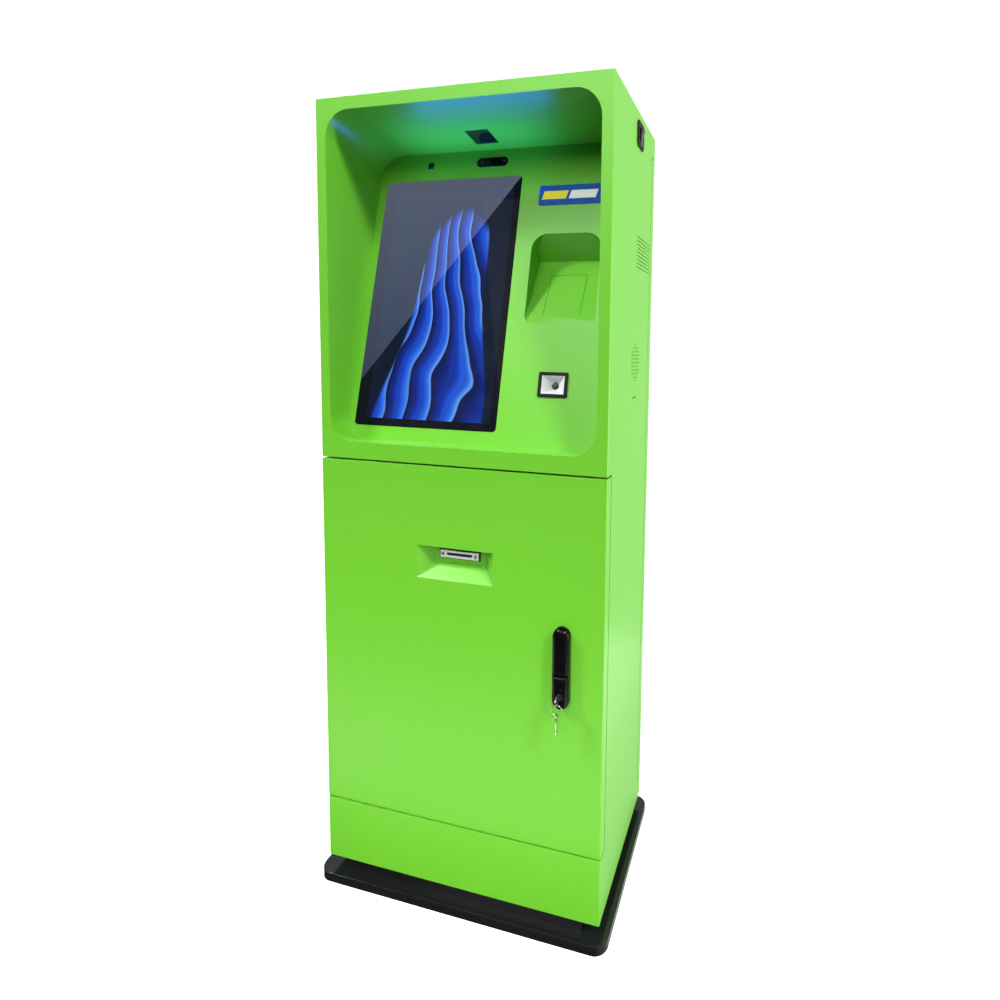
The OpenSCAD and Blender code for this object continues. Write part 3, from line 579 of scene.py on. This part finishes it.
def badge_material():
    """Enamelled blue plate with two plain bars, one yellow and one white, in place of lettering."""
    m = Surface("badge_enamel")
    x = m.times(m.dot((1, 0, 0)), 1000.0)
    v = m.times(m.up_fascia(), 1000.0)
    row_low, row_high, lean = 521.0, 539.0, 0.30
    slant = m.minus(x, m.times(m.minus(v, (row_low + row_high) / 2), lean))
    row = m.between(v, row_low, row_high)
    yellow = m.times(row, m.between(slant, 113.0, 166.0))
    white = m.times(row, m.between(slant, 172.0, 230.0))
    blue = m.ramp(m.noise(50.0, 2.0), [(0.3, (0.004, 0.070, 0.38, 1)), (0.7, (0.006, 0.090, 0.46, 1))])
    colour = m.mix(yellow, blue, (0.95, 0.78, 0.06, 1))
    colour = m.mix(white, colour, (0.95, 0.96, 0.97, 1))
    m.set(Base_Color=colour, Roughness=m.span(m.noise(40.0), 0.3, 0.7, 0.30, 0.38), Specular_IOR_Level=0.12)
    return m.mat


SCREEN = picture_material()
WINDOW = dark_glass("window_glass", (0.006, 0.014, 0.007, 1), 0.05)
LENS = dark_glass("lens_glass", (0.003, 0.003, 0.006, 1), 0.02)
BADGE = badge_material()
CARDS = card_material()


def wear(obj, material):
    obj.data.materials.clear()
    obj.data.materials.append(material)
    return obj


def finish_piece(obj, body, material, replaces=(), bevel=0.0):
    """Gives a piece its material and edges, and rides it on its body in place of the nodes it replaces."""
    clean(obj)
    wear(obj, material)
    soften(obj, bevel)
    if not bevel:
        # Quads and triangles of a curve are smooth, large flat ends aren't
        for poly in obj.data.polygons:
            poly.use_smooth = len(poly.vertices) < 12
    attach(obj, body)
    if replaces:
        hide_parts(*replaces)


# ---------------------------------------------------------------- cabinet skin
def hood_solid(name, g, depth):
    """The space inside the hood grown by g, as deep as the fascia's plane plus depth."""
    half, r = MOUTH_HW + g, MOUTH_R + g
    under_ceiling = rounded(-half, half, -FAR, g, [0, 0, r, r], 20)
    over_sill = rounded(-half, half, SILL_Z - g, SILL_Z + FAR, [r, r, 0, 0], 20)
    solid = prism(name, under_ceiling, -100, 420, "y", ON_CEILING)
    carve(solid, prism("cutter", over_sill, -120, 400), "INTERSECT")
    return carve(solid, block("cutter", (-FAR, -FAR, -FAR), (FAR, depth, FAR), ON_FASCIA), "INTERSECT")


def alcove_solid(name, g):
    """The reader alcove grown by g: a wedge that goes in up its floor to the crease and comes back out."""
    left, right, low, high = ALCOVE
    slope, lift = ALCOVE_SLOPE, ALCOVE_FLOOR
    # Its side view, as (depth, height) on the fascia
    crease = Vector((lift * math.sin(slope), low + lift * math.cos(slope)))
    floor_dir = Vector((math.sin(slope), math.cos(slope)))
    floor_out = Vector((math.cos(slope), -math.sin(slope)))
    roof_dir = (crease - Vector((0, high))).normalized()
    roof_out = Vector((-roof_dir.y, roof_dir.x))
    on_floor = Vector((0, low)) + floor_out * g
    on_roof = Vector((0, high)) + roof_out * g
    in_front, upwards = Vector((-8.0, 0)), Vector((0, 1))

    def meet(p, p_dir, q, q_dir):
        """Where the line through p crosses the line through q."""
        return p + p_dir * ((q - p).cross(q_dir) / p_dir.cross(q_dir))

    side = [
        meet(on_floor, floor_dir, in_front, upwards),
        meet(on_floor, floor_dir, on_roof, roof_dir),
        meet(on_roof, roof_dir, in_front, upwards),
    ]
    wedge = prism(name, [tuple(p) for p in side], left - g, right + g, "x", ON_FASCIA)
    mouth = rounded(left - g, right + g, low - 12 - g, high + g, 34 + g, 14)
    return carve(wedge, prism("cutter", mouth, -8, 90, "y", ON_FASCIA), "INTERSECT")


def speaker_holes():
    """A round patch of small holes, every other row half a step on, as outlines on the cabinet's side."""
    centre_y, centre_z, patch_r, hole_r = 214, 1087, 40, 2.2
    step_y, step_z = 9, 7.8
    holes = []
    for i in range(-4, 5):
        for j in range(-5, 6):
            y, z = i * step_y + (abs(j) % 2) * step_y / 2, j * step_z
            if math.hypot(y, z) < patch_r:
                holes.append(disc(centre_y + y, centre_z + z, hole_r, 14))
    return holes


def cabinet_skin():
    """The cabinet's whole sheet metal in one piece, less the two doors."""
    plan = rounded(-HALF_W, HALF_W, 0, DEPTH, BEND, 5)
    # Straight sides and a rounded top edge, as (inset, height)
    steps = ((0, 0), (0, HEIGHT - 2.2), (0.65, HEIGHT - 0.65), (2.2, HEIGHT))
    bm = bmesh.new()
    loft(bm, [[(x, y, z) for x, y in inset(plan, d)] for d, z in steps])
    skin = make_object("cabinet_skin", bm)
    # Room for the front door, then for the rear door
    carve(skin, block("cutter", (-FAR, -20, PLINTH_Z), (FAR, SIDE_FRONT, HOOD_Z)))
    carve(skin, block("cutter", (-FAR, REAR_Y, REAR_Z0), (FAR, FAR, REAR_Z1)))
    # Hollowed to the sheet's thickness, which leaves the hood's and the alcove's own sheet inside
    hollow = block("hollow", (-HALF_W + SHEET, SHEET, -5), (HALF_W - SHEET, DEPTH - SHEET, HEIGHT - SHEET))
    for z in (REAR_Z0 - SHEET, REAR_Z1):
        carve(hollow, block("cutter", (-FAR, REAR_Y, z), (FAR, FAR, z + SHEET)))
    carve(hollow, hood_solid("grown", SHEET, SHEET))
    carve(hollow, alcove_solid("grown", SHEET))
    carve(skin, hollow)
    carve(skin, hood_solid("cutter", 0, 0))
    carve(skin, alcove_solid("cutter", 0))

    # Openings in the fascia for the glass, the sensor bar, the camera and the scanner
    gap = 0.5
    left, right, low, high = GLASS
    windows = [
        rounded(left - gap, right + gap, low - gap, high + gap, 8.5, 8),
        rounded(-49.8, 23.8, 603.2, 624.8, 10.7, 12),
        rounded(-168, -154, 606.5, 620.5, 1.2, 4),
        rounded(DEV_X - 27, DEV_X + 27, SCAN_V - 22, SCAN_V + 22, 0.5, 2),
    ]
    carve(skin, many("cutter", windows, -6, 6, "y", ON_FASCIA))
    # The fine line round the reader's face, open at the foot
    left, right, low, high, line = 134.0, 213.0, 22.0, 124.0, 1.3
    groove = [
        (left, low), (left + line, low), (left + line, high - line), (right - line, high - line),
        (right - line, low), (right, low), (right, high), (left, high),
    ]
    carve(skin, prism("cutter", groove, -3, 1.1, "y", ON_FLOOR))
    # The window in the hood's ceiling
    carve(skin, block("cutter", (-40, 113, -6), (12, 170, 6), ON_CEILING))
    carve(skin, many("cutter", speaker_holes(), -HALF_W - 5, HALF_W + 5, "x"))
    # The right side: nine vents, a slot and the mains inlet
    vent_z, vent_step, vent_h = 1287.4, 7.8, 1.8
    openings = [rounded(209, 340, z, z + vent_h, 0.88, 4) for z in (vent_z + vent_step * i for i in range(9))]
    openings.append(rounded(192, 232, 1012, 1014, 0.98, 4))
    openings.append(rounded(188.5, 237.5, 1532.5, 1575.5, 3, 4))
    carve(skin, many("cutter", openings, HALF_W - 5, HALF_W + 5, "x"))
    finish_piece(
        skin, "cabinet", PAINT,
        ("side_panel_left", "side_panel_right", "top_panel", "hood_frame", "plinth_front", "hood_liner",
         "fascia_panel", "alcove_liner", "rear_strips"), 0.7)


def pocket_solid(name, g):
    """The card slot's pocket grown by g: its sides and its foot slope in at about 45 degrees."""
    middle, half, depth = SLOT_X + 0.5, 83.5, 27.5
    low, high, rise, before = 651, 717, 25, 5
    slant = g * math.sqrt(2)
    mouth = half + slant + before
    back = half + slant - depth - g
    plan = [
        (middle - mouth, -before), (middle + mouth, -before),
        (middle + back, depth + g), (middle - back, depth + g),
    ]
    solid = prism(name, plan, 600, 800, "z")
    side = [
        (-before, low - slant - 4.6), (depth + g, low - slant + rise + g),
        (depth + g, high + g), (-before, high + g),
    ]
    return carve(solid, prism("cutter", side, -300, 300, "x"), "INTERSECT")


def front_door():
    """A folded pan with the slot's pocket set in, and holes for the slot and the lock."""
    pan = rounded(-HALF_W, HALF_W, 0, DOOR_D, [2.4, 2.4, 0, 0], 5)
    door = prism("front_door_skin", pan, DOOR_Z0, DOOR_Z1, "z")
    low, high = (-HALF_W + SHEET, SHEET, DOOR_Z0 + SHEET), (HALF_W - SHEET, DOOR_D + 5, DOOR_Z1 - SHEET)
    hollow = block("hollow", low, high)
    carve(hollow, pocket_solid("grown", SHEET))
    carve(door, pocket_solid("outer", SHEET), "UNION")
    carve(door, block("cutter", (-200, -60, 600), (200, 0, 800)))
    carve(door, hollow)
    carve(door, pocket_solid("cutter", 0))
    carve(door, many("cutter", [rounded(SLOT_X - 29, SLOT_X + 29, SLOT_Z - 4, SLOT_Z + 4, 1, 3)], 20, 40))
    carve(door, many("cutter", [disc(LOCK_X, SPINDLE_Z, 9.2), disc(LOCK_X, PLUG_Z, 9.8)], -5, 5))
    finish_piece(door, "front_door", PAINT, ("door_panel", "slot_pocket"), 0.8)


cabinet_skin()
front_door()


# ---------------------------------------------------------------- fascia devices
def reader_case():
    """The reader's case behind the alcove's floor."""
    outline = rounded(DEV_X - 46, DEV_X + 46, 16, 125, 4, 6)
    case = crowned("reader_case", outline, [(0, 2), (0, 18), (1.2, 20)], ON_FLOOR)
    finish_piece(case, "cabinet", BLACK_MATTE, ("reader_module",), 0.4)


def scanner():
    """Silvered funnel with its four creases, and the lens at its foot."""
    half_w, half_h, lip, per_side = 23.9, 18.5, 1.2, 12
    place = ON_FASCIA @ Matrix.Translation((DEV_X, 0, SCAN_V))

    def box_ring(x, z, y):
        corners = [(-x, -z), (x, -z), (x, z), (-x, z)]
        points = []
        for a, b in zip(corners, corners[1:] + corners[:1]):
            for k in range(per_side):
                points.append((a[0] + (b[0] - a[0]) * k / per_side, y, a[1] + (b[1] - a[1]) * k / per_side))
        return points

    def round_ring(r, y):
        return [(r * x / math.hypot(x, z), y, r * z / math.hypot(x, z)) for x, _, z in box_ring(1, 1, 0)]

    rings = [
        box_ring(half_w, half_h, 15),
        box_ring(half_w, half_h, -1.0),
        box_ring(half_w - 0.3, half_h - 0.3, -1.4),
        box_ring(half_w - lip, half_h - lip, -1.4),
        box_ring(half_w - lip - 0.4, half_h - lip - 0.4, -0.9),
        box_ring(9.2, 9.2, 12.4),
        round_ring(8.4, 12.6),
        round_ring(7.6, 13.4),
        round_ring(7.4, 15),
    ]
    bm = bmesh.new()
    verts = loft(bm, rings, closed_ends=False)
    first, last = verts[0], verts[-1]
    for i in range(len(first)):
        j = (i + 1) % len(first)
        bm.faces.new((first[i], first[j], last[j], last[i]))
    reflector = make_object("scanner_funnel", bm, place)
    finish_piece(reflector, "cabinet", REFLECTOR, ("scanner_reflector",))
    profile = [
        (0, 10.6), (2.6, 10.7), (3.0, 11.0), (3.4, 10.3), (4.9, 10.3),
        (5.6, 10.9), (6.2, 11.2), (6.2, 17), (0, 17),
    ]
    finish_piece(turned("scanner_lens", profile, place), "cabinet", LENS)


def small_lens(name, x, v, r, y):
    """A shallow lens of radius r on the fascia, with its rim at depth y."""
    profile = [
        (0, y - 0.5), (r * 0.5, y - 0.42), (r * 0.82, y - 0.1), (r * 0.9, y + 0.1),
        (r, y - 0.2), (r, y + 1.5), (0, y + 1.5),
    ]
    lens = turned(name, profile, ON_FASCIA @ Matrix.Translation((x, 0, v)), 32)
    finish_piece(lens, "cabinet", LENS)


def sensor_bar():
    """The pill-shaped bar of three lenses, and its case behind the fascia."""
    outline = rounded(-49.5, 23.5, 603.5, 624.5, 10.3, 14)
    pill = crowned("sensor_bar_face", outline, [(0, 4), (0, -0.2), (0.35, -0.75), (1.1, -1.0)], ON_FASCIA)
    back = crowned("sensor_bar_case", rounded(-58, 32, 600, 628, 3, 5), [(0, 2), (0, 17), (1, 18)], ON_FASCIA)
    finish_piece(pill, "cabinet", BLACK_GLOSS, ("sensor_bar",))
    finish_piece(back, "cabinet", BLACK_MATTE, (), 0.3)
    for i, (x, r) in enumerate(((-37, 3.6), (-21, 2.2), (15.5, 3.6))):
        small_lens(f"sensor_lens_{i + 1}", x, 614, r, -1.0)


reader_case()
scanner()
sensor_bar()
small_lens("camera_lens", -161, 613.5, 3.4, 1.0)


# ---------------------------------------------------------------- lock and keys
# The rounded border of the lock and its flat face, as (inset, y)
LOCK_DOME = [
    (0, -9.0), (0.25, -11.0), (0.95, -12.9), (2.1, -14.5), (3.6, -15.7), (5.2, -16.35),
    (5.9, -16.45), (6.3, -16.9), (6.9, -17.0),
]
# The gap between the handle's foot and the lower block
LOCK_GAP = 0.6


def arc(radius, z, start, end, n):
    """An arc about the lock's middle line at height z; angles run anticlockwise from straight down."""
    angles = [start + (end - start) * i / n for i in range(n + 1)]
    return [(LOCK_X + radius * math.sin(a), z - radius * math.cos(a)) for a in angles]


def handle_ring(d):
    """The handle's outline moved inwards by d: its foot is an arc about the spindle."""
    radius, reach = LOCK_R - d, LEVER_END - d
    half = math.asin(radius / reach)
    return arc(reach, SPINDLE_Z, -half, half, 16) + arc(radius, SPINDLE_Z, math.pi / 2, 1.5 * math.pi, 40)


def lower_ring(d):
    """The lower block's outline moved inwards by d, hollowed at the top for the handle's foot."""
    radius, reach = LOCK_R - d, LEVER_END + LOCK_GAP + d
    half = math.asin(radius / reach)
    foot = arc(radius, LOCK_Z0 + LOCK_R, -math.pi / 2, math.pi / 2, 40)
    return foot + arc(reach, SPINDLE_Z, half, -half, 16)


def lock_parts():
    """The lock's plate, its two barrels through the door, the fixed block with the plug, and the handle."""
    stadium = rounded(LOCK_X - LOCK_R, LOCK_X + LOCK_R, LOCK_Z0, LOCK_Z0 + LOCK_LEN, LOCK_R - 0.02, 20)
    plate = crowned("lock_escutcheon", stadium, [(0, 0), (0, -5.2), (0.3, -6.0)])
    barrel = many("barrels", [disc(LOCK_X, SPINDLE_Z, 8.9), disc(LOCK_X, PLUG_Z, 9.5)], 0, 26)
    finish_piece(barrel, "front_door", STEEL, (), 0.4)

    lower = stepped("lock_lower_block", lower_ring, [(0, -6.0)] + LOCK_DOME)
    finish_piece(plate, "front_door", BLACK_GLOSS, ("lock_housing",))
    finish_piece(lower, "front_door", BLACK_GLOSS)

    lever = stepped("lock_handle", handle_ring, [(0, -6.5)] + LOCK_DOME)
    # Room behind the top end, and for the spindle's knuckle, so that the handle can lift
    relief = [
        (-6.5, LIFT_Z - 1), (0, LIFT_Z - 1), (0, LIFT_Z + 20), (-12.7, LIFT_Z + 20), (-12.7, LIFT_Z + 10),
    ]
    carve(lever, prism("cutter", relief, LOCK_X - 20, LOCK_X + 20, "x"))
    knuckle = [
        (-5, SPINDLE_Z - 8), (-5, LIFT_Z + 11), (-11.5, LIFT_Z + 4), (-14.2, LIFT_Z + 1),
        (-14.2, LIFT_Z - 2), (-10, SPINDLE_Z - 8),
    ]
    carve(lever, prism("cutter", knuckle, LOCK_X - 6.5, LOCK_X + 6.5, "x"))
    finish_piece(lever, "lever", BLACK_GLOSS, ("lock_lever",))


def split_ring():
    """Two close turns of wire through both keys, with the step from one turn to the next at the middle."""
    low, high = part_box("key_ring")
    centre = (low + high) / 2
    # The wire's path, in steps; k runs along it from 0 to 1
    radius, wire, turn_count, steps, sides = 10.6 * MM, 0.42 * MM, 2.0, 128, 10
    start, half_pitch, step_from, step_over = math.radians(200), 0.43, 0.42, 0.16
    bm = bmesh.new()
    rings = []
    for i in range(steps + 1):
        k = i / steps
        a = start + 2 * math.pi * turn_count * k
        ramp = max(0.0, min(1.0, (k - step_from) / step_over))
        y = (-half_pitch + 2 * half_pitch * ramp * ramp * (3 - 2 * ramp)) * MM
        out = Vector((math.cos(a), 0, math.sin(a)))
        rings.append([
            centre + out * (radius + wire * math.cos(b)) + Vector((0, y + wire * math.sin(b), 0))
            for b in turns(sides)
        ])
    loft(bm, rings)
    ring = make_object("split_ring", bm, Matrix.Identity(4))
    finish_piece(ring, "ring", CHROME, ("key_ring",))


lock_parts()
split_ring()


# ---------------------------------------------------------------- power inlet pins
def inlet_pins():
    """Three flat pins in the mains inlet; the middle one, the earth, stands nearer the back."""
    y = (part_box("power_inlet")[0].y - FRONT) / MM + 19.5
    outlines = [rounded(y - 2, y + 2, z - 1, z + 1, 0.6, 3) for z in (1547, 1561)]
    outlines.append(rounded(y + 3.5, y + 7.5, 1553, 1555, 0.6, 3))
    pins = many("inlet_pins", outlines, 291.5, 306.5, "x")
    finish_piece(pins, "cabinet", NICKEL, (), 0.25)


inlet_pins()


# ---------------------------------------------------------------- materials of the CAD nodes
# The material, the rounding of the edges in mm and its steps
LOOKS = {
    "base_plate": (BASE_PAINT, 2.0, 3),
    "base_riser": (BASE_PAINT, 1.0, 2),
    "floor_pan": (PAINT_IN, 0.4, 1),
    "mid_shelf": (PAINT_IN, 0.4, 1),
    "door_sill": (PAINT_IN, 0.4, 1),
    "front_posts": (PAINT_IN, 0.8, 2),
    "rear_posts": (PAINT_IN, 0.8, 2),
    "touch_glass": (SCREEN, 0.5, 2),
    "display_panel": (BLACK_MATTE, 0.3, 1),
    "monitor_housing": (BLACK_MATTE, 0.8, 2),
    "camera_module": (BLACK_MATTE, 0.3, 2),
    "ceiling_window": (WINDOW, 0.5, 2),
    "overhead_camera": (BLACK_MATTE, 0.6, 2),
    "badge_plate": (BADGE, 0.4, 2),
    "scanner_bezel": (BLACK_MATTE, 0.5, 2),
    "scanner_body": (BLACK_MATTE, 0.5, 2),
    "speakers": (BLACK_MATTE, 0.5, 2),
    "power_inlet": (BLACK_MATTE, 0.5, 2),
    "rocker_switch": (GREY_PLASTIC, 0.5, 2),
    "mini_pc": (GREY_PLASTIC, 0.6, 2),
    "power_supply": (BRUSHED, 0.5, 2),
    "fan_housing": (BLACK_MATTE, 0.4, 2),
    "fan_rotor": (BLACK_MATTE, 0.3, 2),
    "hinge_pins": (STEEL, 0.3, 2),
    "strike_plates": (STEEL, 0.3, 2),
    "slot_gasket": (RUBBER, 0.2, 1),
    "slot_bezel": (SATIN, 0.3, 2),
    "bezel_screws": (STEEL, 0.15, 2),
    "dispenser_frame": (STEEL, 0.4, 1),
    "card_magazine": (BRUSHED, 0.4, 1),
    "card_stack": (CARDS, 0.1, 1),
    "card_pusher": (STEEL, 0.6, 2),
    "feed_roller": (RUBBER, 0.3, 2),
    "exit_roller": (RUBBER, 0.3, 2),
    "feed_motor": (GREY_PLASTIC, 0.5, 2),
    "drive_belt": (RUBBER, 0, 1),
    "lock_spindle": (STEEL, 0.3, 2),
    "lock_plug": (DARK_STEEL, 0.3, 2),
    "door_key": (NICKEL, 0.25, 2),
    "spare_key": (NICKEL, 0.25, 2),
    "rear_door": (PAINT, 0.7, 2),
    "rear_lock": (CHROME, 0.5, 2),
    "rear_lock_cam": (STEEL, 0.3, 2),
}
for name, (material, width, segments) in LOOKS.items():
    node = wear(NODES[name], material)
    soften(node, width, segments, weld=True)


# ---------------------------------------------------------------- floor and light
# The paper's own glow, and how bright the room looks from the object: low, level and high in front,
# then to the right and behind
PAPER_GLOW = 0.8
ROOM_LOW, ROOM_MID, ROOM_HIGH, ROOM_RIGHT, ROOM_BACK = 0.03, 0.04, 0.04, 0.40, 0.60
# The lamps' power in watts
KEY, FRONT_FILL, SIDE_FILL, GLOSS = 270.0, 145.0, 108.0, 140.0
LOW_BEAM, BOUNCE_FRONT, BOUNCE_RIGHT, SCREEN_GLOW = 4.4, 3.8, 3.1, 0.72


def studio_floor():
    """White paper that rises all round into a wall. It shows and takes shadows, but throws no light."""
    flat, curve, top, steps, sides = 7.0, 2.0, 9.0, 12, 72
    profile = [(0.8, 0.0), (2.5, 0.0), (flat, 0.0)]
    for i in range(1, steps + 1):
        a = math.radians(90 * i / steps)
        profile.append((flat + curve * math.sin(a), curve - curve * math.cos(a)))
    profile.append((flat + curve, top))
    bm = bmesh.new()
    rows = [[bm.verts.new((0, 0, 0))] * sides]
    for r, z in profile:
        rows.append([bm.verts.new((x, y, z)) for x, y in disc(0, 0, r, sides)])
    for a, b in zip(rows, rows[1:]):
        for i in range(sides):
            j = (i + 1) % sides
            bm.faces.new(dict.fromkeys((a[i], b[i], b[j], a[j])))
    floor = make_object("studio_floor", bm, Matrix.Identity(4))
    for poly in floor.data.polygons:
        poly.use_smooth = True
    if floor.data.polygons[0].normal.z < 0:
        floor.data.flip_normals()
    m = Surface("studio_paper")
    m.set(Base_Color=m.ramp(m.noise(0.8), [(0.3, (0.90, 0.90, 0.90, 1)), (0.7, (0.93, 0.93, 0.93, 1))]))
    m.set(Roughness=0.9, Specular_IOR_Level=0.1, Emission_Color=(1, 1, 1, 1), Emission_Strength=PAPER_GLOW)
    wear(floor, m.mat)
    floor.visible_diffuse = floor.visible_glossy = floor.visible_shadow = False


def grey(level):
    return (level, level, level, 1)


def room_light():
    """A dim room in front of the object, and the pale backdrop's light from behind and from the right."""
    world = bpy.data.worlds.new("studio_world")
    SCENE.world = world
    world.use_nodes = True
    m = Graph(world.node_tree, "Generated")
    height, right, back = (m.dot(axis) for axis in ((0, 0, 1), (1, 0, 0), (0, 1, 0)))
    front = m.ramp(m.span(height, -1.0, 1.0, 0.0, 1.0), [
        (0.0, grey(ROOM_LOW)), (0.45, grey(ROOM_LOW)), (0.52, grey(ROOM_MID)), (1.0, grey(ROOM_HIGH)),
    ])
    sided = m.mix(m.span(right, 0.15, 0.75, 0.0, 1.0, True), front, grey(ROOM_RIGHT))
    room = m.mix(m.span(back, 0.0, 0.45, 0.0, 1.0, True), sided, grey(ROOM_BACK))
    background = m.add("ShaderNodeBackground")
    m.link(room, background.inputs[0])
    background.inputs[1].default_value = 1.0
    out = m.add("ShaderNodeOutputWorld")
    m.link(background.outputs[0], out.inputs[0])


def lamp(name, place, aim, power, size, colour=(1, 1, 1)):
    """An area light, size metres wide and high, at a place in millimetres and turned towards aim."""
    data = bpy.data.lights.new(name, "AREA")
    data.energy = power
    data.color = colour
    data.shape = "RECTANGLE"
    data.size, data.size_y = size
    light = bpy.data.objects.new(name, data)
    SCENE.collection.objects.link(light)
    light.visible_camera = False
    place, aim = PLACE @ Vector(place), PLACE @ Vector(aim)
    turn = (aim - place).to_track_quat("-Z", "Y").to_matrix().to_4x4()
    light.matrix_world = Matrix.Translation(place) @ turn
    return light


def studio():
    """Two lamps high to either side, soft light from the front and the right, and light off the paper."""
    studio_floor()
    room_light()
    lamp("ceiling_lamp_left", (-3375, -2000, 4560), (225, 0, 560), KEY, (0.8, 0.8))
    lamp("ceiling_lamp_right", (3825, -2000, 4560), (225, 0, 560), KEY, (0.8, 0.8))
    front = lamp("front_softbox", (0, -4400, 3700), (0, 0, 700), FRONT_FILL, (3.0, 1.8))
    front.visible_glossy = False
    # Only for the sheen on the fascia
    gloss = lamp("gloss_panel", (0, -4200, 4200), (0, 0, 700), GLOSS, (5.0, 3.0))
    gloss.visible_diffuse = False
    # Brightens the door towards its foot
    beam = lamp("low_beam", (0, -2600, 1300), (0, 0, -50), LOW_BEAM, (1.6, 0.6))
    beam.data.spread = math.radians(46)
    beam.visible_glossy = False
    # Just above the floor, and shining up
    lamp("floor_bounce_front", (0, -450, -42), (0, -450, 500), BOUNCE_FRONT, (2.4, 0.5))
    lamp("floor_bounce_right", (800, 250, -42), (800, 250, 500), BOUNCE_RIGHT, (0.5, 2.0))
    lamp("side_fill", (3400, 900, 800), (300, 250, 700), SIDE_FILL, (2.6, 2.6))
    # The screen's own light on the hood's ceiling
    blue = (0.04, 0.22, 1.0)
    glow = lamp("screen_glow", (-40, 135, 1430), (-40, 115, 1572), SCREEN_GLOW, (0.32, 0.08), blue)
    glow.data.spread = math.radians(120)


studio()
SCENE.view_settings.view_transform = "Standard"
SCENE.view_settings.look = "None"
